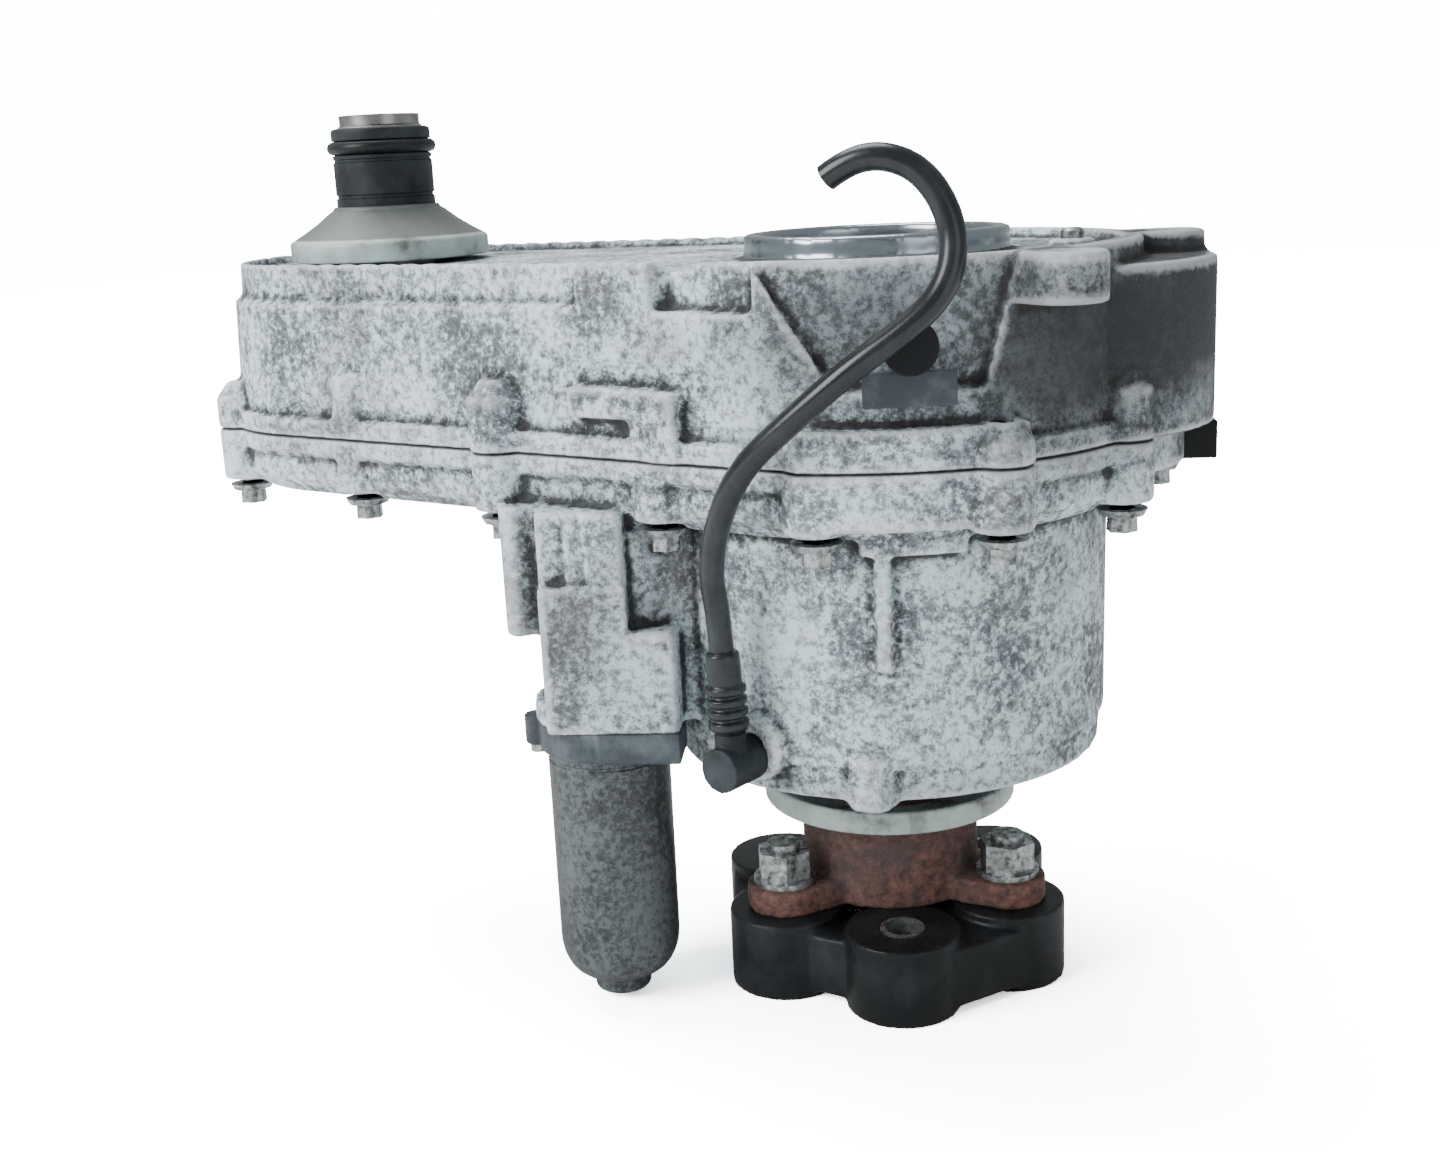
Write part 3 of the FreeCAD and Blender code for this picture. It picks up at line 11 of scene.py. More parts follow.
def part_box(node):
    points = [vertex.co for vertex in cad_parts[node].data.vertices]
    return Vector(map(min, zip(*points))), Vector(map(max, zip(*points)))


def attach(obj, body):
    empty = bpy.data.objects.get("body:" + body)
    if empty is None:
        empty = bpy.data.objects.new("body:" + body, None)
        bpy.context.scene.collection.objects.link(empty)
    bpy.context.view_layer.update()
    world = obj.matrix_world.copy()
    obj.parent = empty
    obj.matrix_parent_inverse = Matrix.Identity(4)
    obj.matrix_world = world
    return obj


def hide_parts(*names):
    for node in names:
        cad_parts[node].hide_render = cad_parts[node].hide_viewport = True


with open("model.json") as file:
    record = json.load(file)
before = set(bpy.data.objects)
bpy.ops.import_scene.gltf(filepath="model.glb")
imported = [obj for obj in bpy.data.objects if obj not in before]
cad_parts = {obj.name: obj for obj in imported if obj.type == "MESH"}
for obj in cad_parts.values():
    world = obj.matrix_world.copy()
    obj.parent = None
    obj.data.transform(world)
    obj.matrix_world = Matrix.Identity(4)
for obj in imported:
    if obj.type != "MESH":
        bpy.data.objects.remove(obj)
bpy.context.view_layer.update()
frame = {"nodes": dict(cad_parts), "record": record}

# ------------------------------------------------------------------ floor, light and camera
# A pale seamless floor that the part stands on, lit softly from overhead and from the front left,
# with the camera a little above the top of the casing.
FLOOR_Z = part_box("flex_disc")[0].z


def principled(name, **values):
    """New material whose shader has these values on its own sockets."""
    made = bpy.data.materials.new(name)
    made.use_nodes = True
    shader = made.node_tree.nodes["Principled BSDF"]
    for socket, value in values.items():
        shader.inputs[socket.replace("_", " ")].default_value = value
    return made


def seen_or_lit(tree, seen, lit):
    """One value where the floor or sky is looked at, and another where it lights the part."""
    path = tree.nodes.new("ShaderNodeLightPath")
    choose = tree.nodes.new("ShaderNodeMix")
    tree.links.new(path.outputs["Is Camera Ray"], choose.inputs[0])
    choose.inputs[2].default_value = lit
    choose.inputs[3].default_value = seen
    return choose.outputs[0]


FLOOR_SEEN = 11.0
FLOOR_LIT = 0.82
SKY_SEEN = 16.0
SKY_LIT = 0.5
FLOOR_REACH = 4
FLOOR_CORNERS = ((-1, -1), (1, -1), (1, 1), (-1, 1))
floor_mesh = bpy.data.meshes.new("floor")
floor_mesh.from_pydata([(x * FLOOR_REACH, y * FLOOR_REACH, FLOOR_Z) for x, y in FLOOR_CORNERS], [],
                       [(0, 1, 2, 3)])
floor = bpy.data.objects.new("floor", floor_mesh)
bpy.context.scene.collection.objects.link(floor)
paper = bpy.data.materials.new("floor_paper")
paper.use_nodes = True
paper.node_tree.nodes.remove(paper.node_tree.nodes["Principled BSDF"])
matt = paper.node_tree.nodes.new("ShaderNodeBsdfDiffuse")
paper.node_tree.links.new(seen_or_lit(paper.node_tree, FLOOR_SEEN, FLOOR_LIT), matt.inputs["Color"])
paper.node_tree.links.new(matt.outputs["BSDF"], paper.node_tree.nodes["Material Output"].inputs["Surface"])
floor.data.materials.append(paper)

sky = bpy.data.worlds.new("studio")
bpy.context.scene.world = sky
sky.use_nodes = True
backdrop = sky.node_tree.nodes["Background"]
backdrop.inputs["Color"].default_value = (0.95, 0.98, 1.0, 1)
sky.node_tree.links.new(seen_or_lit(sky.node_tree, SKY_SEEN, SKY_LIT), backdrop.inputs["Strength"])

LAMPS = [
    # name, place, what it looks at, size, watts
    ("lamp_left", (-1.0, -1.4, 0.8), (-0.08, 0, -0.1), 1.0, 40),
    ("lamp_right", (1.5, -0.9, 0.3), (0, 0, -0.1), 0.9, 4),
]
for name, place, aim, size, watts in LAMPS:
    lamp = bpy.data.lights.new(name, "AREA")
    lamp.size = size
    lamp.energy = watts
    holder = bpy.data.objects.new(name, lamp)
    bpy.context.scene.collection.objects.link(holder)
    holder.location = place
    holder.rotation_mode = "QUATERNION"
    holder.rotation_quaternion = (Vector(aim) - Vector(place)).to_track_quat("-Z", "Y")

# broad even light from overhead, leaning towards the right and towards the camera
OVERHEAD_STRENGTH = 3.4
OVERHEAD_SPREAD = 42
OVERHEAD_LEAN = (-12, -20, 0)
overhead = bpy.data.lights.new("overhead", "SUN")
overhead.energy = OVERHEAD_STRENGTH
overhead.angle = math.radians(OVERHEAD_SPREAD)
overhead_holder = bpy.data.objects.new("overhead", overhead)
bpy.context.scene.collection.objects.link(overhead_holder)
overhead_holder.rotation_euler = [math.radians(lean) for lean in OVERHEAD_LEAN]

EYE = Vector((0.22917, -0.57008, 0.03568))
RIGHT = Vector((0.89053, 0.45255, -0.04636))
UP = Vector((-0.06876, 0.23464, 0.96965))
LENS = 42.31
eye = bpy.data.cameras.new("camera")
eye.lens = LENS
eye.sensor_width = 36
eye.clip_start = 0.01
camera = bpy.data.objects.new("camera", eye)
bpy.context.scene.collection.objects.link(camera)
back = RIGHT.cross(UP)
camera.matrix_world = Matrix((
    (RIGHT.x, UP.x, back.x, EYE.x),
    (RIGHT.y, UP.y, back.y, EYE.y),
    (RIGHT.z, UP.z, back.z, EYE.z),
    (0, 0, 0, 1)))
bpy.context.scene.camera = camera

# ------------------------------------------------------------------ vent hose
# A soft rubber breather hose, pushed on its cuff at the foot and led over the seam and the clip,
# with its open end bent over so that water stays out. It holds its bends by itself.
HOSE_DIAMETER = 0.0084
HOSE_ROUTE = [
    (-0.02167, -0.09155, -0.12359), (-0.0225, -0.09138, -0.10962), (-0.0223, -0.0959, -0.0966),
    (-0.0158, -0.1018, -0.0772), (-0.0043, -0.1059, -0.0585), (0.0143, -0.1070, -0.0428),
    (0.0333, -0.1043, -0.0271), (0.0501, -0.0985, -0.0152), (0.0588, -0.0930, -0.0053),
    (0.0610, -0.0891, 0.0072), (0.0575, -0.0884, 0.0199), (0.0500, -0.0901, 0.0302),
    (0.0393, -0.0930, 0.0344), (0.0292, -0.0946, 0.0325), (0.0227, -0.0948, 0.0282),
]


def wire(tree, kind, inputs=(), **settings):
    """New node in the tree, with its settings, and with values or links on its inputs."""
    made = tree.nodes.new(kind)
    for name, value in settings.items():
        setattr(made, name, value)
    for key, value in dict(inputs).items():
        socket = made.inputs[key]
        if isinstance(value, bpy.types.NodeSocket):
            tree.links.new(value, socket)
        else:
            socket.default_value = value
    return made


def ramp(tree, factor, *stops):
    """Colour ramp on the factor, from (position, colour) pairs."""
    made = wire(tree, "ShaderNodeValToRGB", {"Fac": factor})
    strip = made.color_ramp
    while len(strip.elements) < len(stops):
        strip.elements.new(0.5)
    for element, (position, tone) in zip(strip.elements, stops):
        element.position = position
        element.color = (*tone, 1) if len(tone) == 3 else tone
    return made.outputs["Color"]


def object_coordinates(tree):
    return wire(tree, "ShaderNodeTexCoord").outputs["Object"]


def noise(tree, place, scale, detail=4.0, roughness=0.55):
    return wire(tree, "ShaderNodeTexNoise", {"Vector": place, "Scale": scale, "Detail": detail,
                                             "Roughness": roughness}).outputs["Fac"]


def blend_tone(tree, factor, first, second, how="MIX"):
    """Mix of two colours by a factor."""
    made = wire(tree, "ShaderNodeMix", data_type="RGBA", blend_type=how)
    for socket, value in ((made.inputs[0], factor), (made.inputs[6], first), (made.inputs[7], second)):
        if isinstance(value, bpy.types.NodeSocket):
            tree.links.new(value, socket)
        else:
            socket.default_value = (*value, 1) if hasattr(value, "__len__") and len(value) == 3 else value
    return made.outputs[2]


def connect(tree, **links):
    """Link outputs to sockets of the material's shader."""
    shader = tree.nodes["Principled BSDF"]
    for socket, output in links.items():
        tree.links.new(output, shader.inputs[socket.replace("_", " ")])


def bump(tree, height, strength, distance):
    return wire(tree, "ShaderNodeBump", {"Height": height, "Strength": strength,
                                         "Distance": distance}).outputs["Normal"]


def worn_black(name, tone, dusty, roughness, grain, coat=0.0):
    """Black rubber or plastic with a fine grain and a thin film of dust in patches."""
    made = principled(name, Roughness=roughness, Coat_Weight=coat, Coat_Roughness=0.2,
                      Specular_IOR_Level=0.22)
    tree = made.node_tree
    place = object_coordinates(tree)
    patches = noise(tree, place, 45, 5, 0.6)
    mask = ramp(tree, patches, (0.45, (0, 0, 0)), (0.75, (1, 1, 1)))
    connect(tree, Base_Color=blend_tone(tree, mask, tone, dusty),
            Roughness=ramp(tree, patches, (0.3, (roughness - 0.07,) * 3), (0.8, (roughness + 0.16,) * 3)),
            Normal=bump(tree, noise(tree, place, grain, 3), 0.25, 0.0002))
    return made


hose_rubber = worn_black("hose_rubber", (0.008, 0.011, 0.013), (0.030, 0.038, 0.044), 0.30, 900, 0.35)
hose_line = bpy.data.curves.new("vent_hose_line", "CURVE")
hose_line.dimensions = "3D"
hose_line.resolution_u = 12
hose_line.bevel_depth = HOSE_DIAMETER / 2
hose_line.bevel_resolution = 6
hose_line.use_fill_caps = True
spline = hose_line.splines.new("NURBS")
spline.points.add(len(HOSE_ROUTE) - 1)
for point, spot in zip(spline.points, HOSE_ROUTE):
    point.co = (*spot, 1)
spline.order_u = 3
spline.use_endpoint_u = True
vent_hose = bpy.data.objects.new("vent_breather_hose", hose_line)
bpy.context.scene.collection.objects.link(vent_hose)
hose_line.materials.append(hose_rubber)
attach(vent_hose, "case")
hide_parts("vent_hose")

# ------------------------------------------------------------------ casing
# Two halves of die-cast aluminium, split at the seam, with bosses for the bolts round the rim.
# Years of road salt have left a pale mottled crust, and painted shade and grime darken the hollows.
CASTING_VOXEL = 0.0013
CASTING_ROUNDS = 4
MOST_FACES = 185000
HOLLOW_ROUNDS = 10
HOLLOW_REACH = 0.0011
WELD = 1e-6


def finished(piece, material, body, slot, *nodes, smooth=True):
    """Give a piece its material, smooth shading and body, and hide the CAD nodes it stands for. The slot is
    not used.
    """
    piece.data.materials.clear()
    piece.data.materials.append(material)
    if smooth:
        piece.data.shade_smooth()
    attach(piece, body)
    if nodes:
        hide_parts(*nodes)
    return piece


def mesh_piece(name, mesh):
    piece = bpy.data.objects.new(name, mesh)
    bpy.context.scene.collection.objects.link(piece)
    return piece


def merged_copy(name, *nodes):
    """One piece from copies of the nodes' meshes, with the triangles' shared points joined."""
    form = bmesh.new()
    for label in nodes:
        form.from_mesh(frame["nodes"][label].data)
    bmesh.ops.remove_doubles(form, verts=form.verts, dist=WELD)
    mesh = bpy.data.meshes.new(name)
    form.to_mesh(mesh)
    form.free()
    return mesh_piece(name, mesh)


def applied(piece):
    """Turn the piece's modifiers into its mesh."""
    shape = bpy.data.meshes.new_from_object(piece.evaluated_get(bpy.context.evaluated_depsgraph_get()))
    piece.modifiers.clear()
    piece.data = shape
    return piece


def cast_skin(piece, voxel, rounds, most_faces):
    """Remesh the piece and soften its edges as a casting's are."""
    grid = piece.modifiers.new("grid", "REMESH")
    grid.mode = "VOXEL"
    grid.voxel_size = voxel
    soften = piece.modifiers.new("soften", "SMOOTH")
    soften.factor = 0.5
    soften.iterations = rounds
    applied(piece)
    faces = sum(len(face.vertices) - 2 for face in piece.data.polygons)
    if faces > most_faces:
        thin = piece.modifiers.new("thin", "DECIMATE")
        thin.ratio = most_faces / faces
        applied(piece)
    return piece


def mark_hollows(piece, rounds, reach):
    """Write how far each point stands proud of its smoothed surroundings, from 0 hollow to 1 edge."""
    mesh = piece.data
    count = len(mesh.vertices)
    spots = np.empty(count * 3)
    mesh.vertices.foreach_get("co", spots)
    spots = spots.reshape(-1, 3)
    outward = np.empty(count * 3)
    mesh.vertices.foreach_get("normal", outward)
    outward = outward.reshape(-1, 3)
    pairs = np.empty(len(mesh.edges) * 2, int)
    mesh.edges.foreach_get("vertices", pairs)
    one, other = pairs.reshape(-1, 2).T
    links = np.bincount(one, minlength=count) + np.bincount(other, minlength=count)
    links = np.maximum(links, 1)
    soft = spots.copy()
    for _ in range(rounds):
        total = np.empty_like(soft)
        for axis in range(3):
            total[:, axis] = (np.bincount(one, soft[other, axis], count)
                              + np.bincount(other, soft[one, axis], count))
        soft = total / links[:, None]
    proud = ((spots - soft) * outward).sum(1)
    layer = mesh.attributes.new("proud", "FLOAT", "POINT")
    layer.data.foreach_set("value", np.clip(0.5 + 0.5 * proud / reach, 0, 1))


def casting(name, label):
    """One half of the casing, softened and marked for the painted shade and grime of its hollows and for its
    worn edges.
    """
    half = cast_skin(merged_copy(name, label), CASTING_VOXEL, CASTING_ROUNDS, MOST_FACES)
    mark_hollows(half, HOLLOW_ROUNDS, HOLLOW_REACH)
    return half


front_half = casting("casing_front_half", "case_front")
rear_half = casting("casing_rear_half", "case_rear")


def math_node(tree, how, *values):
    return wire(tree, "ShaderNodeMath", dict(enumerate(values)), operation=how).outputs[0]


def speckle_group():
    """Mottled crust: pale salt in fine flecks and dark pits, on a ground that drifts in broad patches."""
    group = bpy.data.node_groups.new("salt_speckle", "ShaderNodeTree")
    for name, kind in (("Size", "NodeSocketFloat"), ("Ground", "NodeSocketColor"),
                       ("Drift", "NodeSocketColor"), ("Salt", "NodeSocketColor"), ("Pit", "NodeSocketColor"),
                       ("Amount", "NodeSocketFloat")):
        group.interface.new_socket(name, in_out="INPUT", socket_type=kind)
    for name, kind in (("Color", "NodeSocketColor"), ("Grain", "NodeSocketFloat")):
        group.interface.new_socket(name, in_out="OUTPUT", socket_type=kind)
    given = group.nodes.new("NodeGroupInput").outputs
    out = group.nodes.new("NodeGroupOutput")
    place = object_coordinates(group)
    fine = noise(group, place, given["Size"], 8, 0.78)
    broad = noise(group, place, 30, 5, 0.65)
    ground = blend_tone(group, ramp(group, broad, (0.40, (0, 0, 0)), (0.60, (1, 1, 1))), given["Ground"],
                        given["Drift"])
    # salt lies thicker where the broad patches are pale
    laid = math_node(group, "MULTIPLY_ADD", broad, 0.35, math_node(group, "SUBTRACT", fine, 0.175))
    salt = ramp(group, laid, (0.475, (0, 0, 0)), (0.56, (1, 1, 1)))
    amount = math_node(group, "MULTIPLY", salt, given["Amount"])
    pits = ramp(group, laid, (0.38, (1, 1, 1)), (0.455, (0, 0, 0)))
    pitted = blend_tone(group, math_node(group, "MULTIPLY", pits, 0.8), ground, given["Pit"])
    group.links.new(blend_tone(group, amount, pitted, given["Salt"]), out.inputs["Color"])
    group.links.new(fine, out.inputs["Grain"])
    return group


salt_speckle = speckle_group()


def speckled(tree, size, amount, **tones):
    """The crust with its tones, as a colour and a grain for the bump."""
    made = wire(tree, "ShaderNodeGroup", node_tree=salt_speckle)
    made.inputs["Size"].default_value = size
    made.inputs["Amount"].default_value = amount
    for name, tone in tones.items():
        made.inputs[name].default_value = (*tone, 1)
    return made.outputs["Color"], made.outputs["Grain"]


EDGE_OF_DARK_PATCH = 1.35


def near(tree, place, centre, radii, soft=0.5):
    """Mask that is 1 inside an ellipsoid about a centre and fades out over its rim."""
    shift = wire(tree, "ShaderNodeVectorMath", {0: place, 1: centre}, operation="SUBTRACT").outputs[0]
    scaled = wire(tree, "ShaderNodeVectorMath", {0: shift, 1: tuple(1 / radius for radius in radii)},
                  operation="MULTIPLY").outputs[0]
    length = wire(tree, "ShaderNodeVectorMath", {0: scaled}, operation="LENGTH").outputs["Value"]
    warp = noise(tree, place, 60, 4, 0.6)
    reach = math_node(tree, "ADD", length, math_node(tree, "MULTIPLY", warp, 0.7))
    return wire(tree, "ShaderNodeMapRange", {
        "Value": reach, "From Min": EDGE_OF_DARK_PATCH + soft, "From Max": EDGE_OF_DARK_PATCH - soft},
        clamp=True).outputs["Result"]


# near-black for the painted shade and grime in the hollows, and for the dark seam line
GRIME_AND_SHADE = (0.020, 0.019, 0.018)
DARK_PATCHES = [
    # centre, radii, strength of the dark patch
    ((0.110, -0.010, -0.024), (0.048, 0.080, 0.040), 0.96),
    ((0.098, 0.045, -0.010), (0.045, 0.060, 0.032), 0.90),
    ((0.104, 0.046, -0.070), (0.022, 0.026, 0.016), 0.90),
    ((0.082, -0.052, -0.026), (0.036, 0.040, 0.036), 0.88),
    ((0.028, -0.088, -0.017), (0.044, 0.018, 0.024), 0.70),
    ((0.020, -0.060, -0.180), (0.060, 0.040, 0.012), 0.35),
    ((-0.090, -0.070, -0.125), (0.040, 0.040, 0.034), 0.28),
]
cast_aluminium = principled("crusted_cast_aluminium", Roughness=0.62, Metallic=0.2, Specular_IOR_Level=0.3)
tree = cast_aluminium.node_tree
place = object_coordinates(tree)
crust, grain = speckled(tree, 330, 0.72, Ground=(0.190, 0.225, 0.245), Drift=(0.34, 0.39, 0.42),
                        Salt=(0.80, 0.94, 1.0), Pit=(0.070, 0.078, 0.080))
# broad stains of brown road dirt, and the dark patches on the gearbox side
stain = ramp(tree, noise(tree, place, 19, 6, 0.66), (0.52, (0, 0, 0)), (0.68, (0.6, 0.6, 0.6)))
crust = blend_tone(tree, stain, crust, (0.125, 0.112, 0.098))
for centre, radii, strength in DARK_PATCHES:
    film = math_node(tree, "MULTIPLY", near(tree, place, centre, radii), strength)
    crust = blend_tone(tree, film, crust, (0.030, 0.033, 0.036))
# painted shade and grime in the hollows, and pale worn metal on the edges
proud = wire(tree, "ShaderNodeAttribute", attribute_name="proud").outputs["Fac"]
torn = math_node(tree, "ADD", proud, math_node(tree, "MULTIPLY_ADD", grain, 0.5, -0.25))
hollow = ramp(tree, torn, (0.20, (1, 1, 1)), (0.45, (0, 0, 0)))
crust = blend_tone(tree, math_node(tree, "MULTIPLY", hollow, 0.92), crust, GRIME_AND_SHADE)
edge = ramp(tree, torn, (0.60, (0, 0, 0)), (0.85, (1, 1, 1)))
crust = blend_tone(tree, math_node(tree, "MULTIPLY", edge, 0.45), crust, (0.75, 0.80, 0.84))
# black line of sealant and dirt along the seam
height = wire(tree, "ShaderNodeSeparateXYZ", {0: place}).outputs["Z"]
SEAM_Z = -0.0615
off_seam = math_node(tree, "ABSOLUTE", math_node(tree, "SUBTRACT", height, SEAM_Z))
seam = wire(tree, "ShaderNodeMapRange", {"Value": off_seam, "From Min": 0.0009, "From Max": 0.0004},
            clamp=True).outputs["Result"]
crust = blend_tone(tree, math_node(tree, "MULTIPLY", seam, 0.85), crust, GRIME_AND_SHADE)
# machined rim of the input spigot, above the foot of the spigot and inside its radius
SPIGOT_RADIUS = 0.0475
SPIGOT_FOOT = 0.0008
flat = wire(tree, "ShaderNodeVectorMath", {0: place, 1: (1, 1, 0)}, operation="MULTIPLY").outputs[0]
reach = wire(tree, "ShaderNodeVectorMath", {0: flat}, operation="LENGTH").outputs["Value"]
machined = math_node(tree, "MULTIPLY", math_node(tree, "GREATER_THAN", height, SPIGOT_FOOT),
                     math_node(tree, "LESS_THAN", reach, SPIGOT_RADIUS))
crust = blend_tone(tree, machined, crust, (0.30, 0.34, 0.37))


def by_machining(tree, cast, cut):
    """Value on the cast skin, and another on the machined rim."""
    return wire(tree, "ShaderNodeMapRange", {
        "Value": machined, "To Min": cast, "To Max": cut}).outputs["Result"]


grain_height = math_node(tree, "MULTIPLY", grain, by_machining(tree, 1.0, 0.03))
connect(tree, Base_Color=crust, Metallic=by_machining(tree, 0.15, 0.95),
        Roughness=by_machining(tree, 0.7, 0.22), Normal=bump(tree, grain_height, 0.6, 0.0010))
finished(front_half, cast_aluminium, "case", "cast_aluminium", "case_front")
finished(rear_half, cast_aluminium, "case", "cast_aluminium", "case_rear")

# ------------------------------------------------------------------ finishes and plain CAD pieces
# Steel, iron, plating, rubber and plastic for the remaining pieces. The pieces whose solids are
# already right keep them, and each is given the finish of its slot.
machined_steel = principled("oiled_machined_steel", Roughness=0.3, Metallic=1.0)
tree = machined_steel.node_tree
place = object_coordinates(tree)
film = noise(tree, place, 70, 4)
connect(tree, Base_Color=ramp(tree, film, (0.35, (0.20, 0.20, 0.195)), (0.7, (0.36, 0.36, 0.35))),
        Roughness=ramp(tree, film, (0.3, (0.24,) * 3), (0.8, (0.42,) * 3)))

zinc_steel = principled("tarnished_zinc", Roughness=0.38, Metallic=0.9)
tree = zinc_steel.node_tree
place = object_coordinates(tree)
film = noise(tree, place, 330, 5, 0.65)
connect(tree, Base_Color=ramp(tree, film, (0.34, (0.07, 0.07, 0.065)), (0.5, (0.30, 0.32, 0.32)),
                              (0.75, (0.60, 0.64, 0.64))),
        Roughness=ramp(tree, film, (0.3, (0.55,) * 3), (0.7, (0.28,) * 3)),
        Normal=bump(tree, film, 0.2, 0.0002))

black_plastic = worn_black("moulded_black_plastic", (0.010, 0.013, 0.016), (0.045, 0.055, 0.062), 0.5, 700)
disc_rubber = worn_black("disc_rubber", (0.005, 0.006, 0.007), (0.022, 0.026, 0.029), 0.42, 500, 0.05)

rusty_iron = principled("rusty_forged_iron", Roughness=0.8, Metallic=0.1)
tree = rusty_iron.node_tree
place = object_coordinates(tree)
flakes = noise(tree, place, 260, 6, 0.7)
broad = noise(tree, place, 40, 4, 0.6)
scale = ramp(tree, flakes, (0.32, (0.022, 0.017, 0.016)), (0.5, (0.125, 0.055, 0.043)),
             (0.72, (0.23, 0.12, 0.09)))
sooty = ramp(tree, broad, (0.42, (0, 0, 0)), (0.7, (0.8, 0.8, 0.8)))
connect(tree, Base_Color=blend_tone(tree, sooty, scale, (0.055, 0.045, 0.045)),
        Normal=bump(tree, flakes, 0.6, 0.0006))

pale_zinc = principled("dull_olive_plating", Roughness=0.5, Metallic=0.15)
tree = pale_zinc.node_tree
place = object_coordinates(tree)
film = noise(tree, place, 60, 6, 0.65)
plating = ramp(tree, film, (0.30, (0.12, 0.125, 0.11)), (0.46, (0.35, 0.42, 0.40)),
               (0.7, (0.50, 0.60, 0.58)))
# the shield's cone, above its rim, is darker
CONE_FOOT = 0.0104
CONE_START = 0.0110
height = wire(tree, "ShaderNodeSeparateXYZ", {0: place}).outputs["Z"]
cone = wire(tree, "ShaderNodeMapRange", {"Value": height, "From Min": CONE_FOOT, "From Max": CONE_START},
            clamp=True).outputs["Result"]
cone_darkening = math_node(tree, "MULTIPLY", cone, 0.85)
connect(tree, Base_Color=blend_tone(tree, cone_darkening, plating, (0.085, 0.095, 0.085)),
        Normal=bump(tree, noise(tree, place, 500, 4), 0.15, 0.0002))

motor_paint = principled("speckled_motor_paint", Roughness=0.45, Metallic=0.3)
tree = motor_paint.node_tree
spots, motes = speckled(tree, 420, 0.30, Ground=(0.034, 0.040, 0.044), Drift=(0.055, 0.064, 0.068),
                        Salt=(0.24, 0.28, 0.29), Pit=(0.016, 0.018, 0.019))
# painted shade: the can is darkened where its surface turns away from the view
painted_facing_shade = ramp(tree, wire(tree, "ShaderNodeLayerWeight", {"Blend": 0.5}).outputs["Facing"],
                   (0.45, (0, 0, 0)), (0.85, (0.85, 0.85, 0.85)))
connect(tree, Base_Color=blend_tone(tree, painted_facing_shade, spots, (0.010, 0.011, 0.012)),
        Normal=bump(tree, motes, 0.25, 0.0004))

lining = principled("friction_paper", Base_Color=(0.07, 0.05, 0.035, 1), Roughness=0.9)
tree = lining.node_tree
connect(tree, Normal=bump(tree, noise(tree, object_coordinates(tree), 900, 3), 0.4, 0.0002))

# two more blacks for single pieces: a dusty grey one and a very dark one
greyed_plate = worn_black("greyed_plate", (0.045, 0.056, 0.064), (0.16, 0.19, 0.21), 0.5, 600)
deep_black = worn_black("deep_black_moulding", (0.003, 0.004, 0.005), (0.010, 0.012, 0.014), 0.6, 500)
OWN_FINISH = {"hose_bracket": greyed_plate, "motor_flange": greyed_plate, "hose_clip": deep_black,
              "side_block": deep_black}
FINISHES = {
    "cast_aluminium": cast_aluminium, "zinc_steel": zinc_steel, "bearing_steel": machined_steel,
    "machined_steel": machined_steel, "friction_lining": lining, "seal_rubber": disc_rubber,
    "disc_rubber": disc_rubber, "hose_rubber": hose_rubber, "black_plastic": black_plastic,
    "motor_paint": motor_paint, "rusty_iron": rusty_iron, "pale_zinc": pale_zinc,
}
BODIES = frame["record"]["behaviour"]["bodies"]
BODY_OF = {label: body for body, labels in BODIES.items() for label in labels}
SLOT_OF = {entry["node"]: entry["material_slot"] for entry in frame["record"]["subparts"]}


def stand_in(piece, label):
    """Give a piece the finish, body and place of the CAD node that it stands for."""
    slot = SLOT_OF[label]
    return finished(piece, OWN_FINISH.get(label, FINISHES[slot]), BODY_OF[label], slot, label)


for entry in frame["record"]["subparts"]:
    solid = frame["nodes"][entry["node"]]
    solid.data.materials.clear()
    solid.data.materials.append(FINISHES[entry["material_slot"]])

# ------------------------------------------------------------------ turned pieces
# The motor's drawn can and its cap, the dust ring, and the output's shield, grooved sleeve and
# sealing ring, each spun from a profile in millimetres with the small radii of pressed metal.
MILLIMETRE = 0.001
SPIN_STEPS = 72
CREASE = math.radians(32)


def spun(label, name, profile):
    """Closed profile of (radius, height) spun about the middle of the node's box."""
    low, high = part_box(label)
    form = bmesh.new()
    edge = [form.verts.new((radius * MILLIMETRE, 0, height * MILLIMETRE)) for radius, height in profile]
    pairs = zip(edge, edge[1:] + edge[:1])
    loop = [form.edges.new(pair) for pair in pairs if pair[0].co.x + pair[1].co.x > 0]
    bmesh.ops.spin(form, geom=edge + loop, axis=(0, 0, 1), cent=(0, 0, 0), angle=math.tau,
                   steps=SPIN_STEPS, use_merge=True)
    bmesh.ops.remove_doubles(form, verts=form.verts, dist=WELD)
    bmesh.ops.recalc_face_normals(form, faces=form.faces)
    bmesh.ops.translate(form, verts=form.verts, vec=((low.x + high.x) / 2, (low.y + high.y) / 2, 0))
    mesh = bpy.data.meshes.new(name)
    form.to_mesh(mesh)
    form.free()
    piece = mesh_piece(name, mesh)
    stand_in(piece, label)
    mesh.set_sharp_from_angle(angle=CREASE)
    return piece


def arc(radius, height, wide, tall, start, end, steps=8):
    """Points of a stretch of ellipse about (radius, height), with angles in degrees."""
    turns = [math.radians(start + (end - start) * step / steps) for step in range(steps + 1)]
    return [(radius + wide * math.cos(turn), height + tall * math.sin(turn)) for turn in turns]


# can, drawn with a groove under its flange and a rounded foot, open at the top
CAN = 22.1
CAN_TOP = -168.5
CAN_FOOT = -257
FOOT = 12.5
spun("motor_can", "motor_drawn_can", [
    (CAN, CAN_TOP), (CAN, -171), (21.7, -171.4), (21.7, -172.2), (CAN, -172.6),
    *arc(FOOT, -242, 9.6, 15, 0, -90), (9, CAN_FOOT), (9, -255.4), (11.8, -255.4), (20.5, -244.4),
    (20.5, CAN_TOP)])

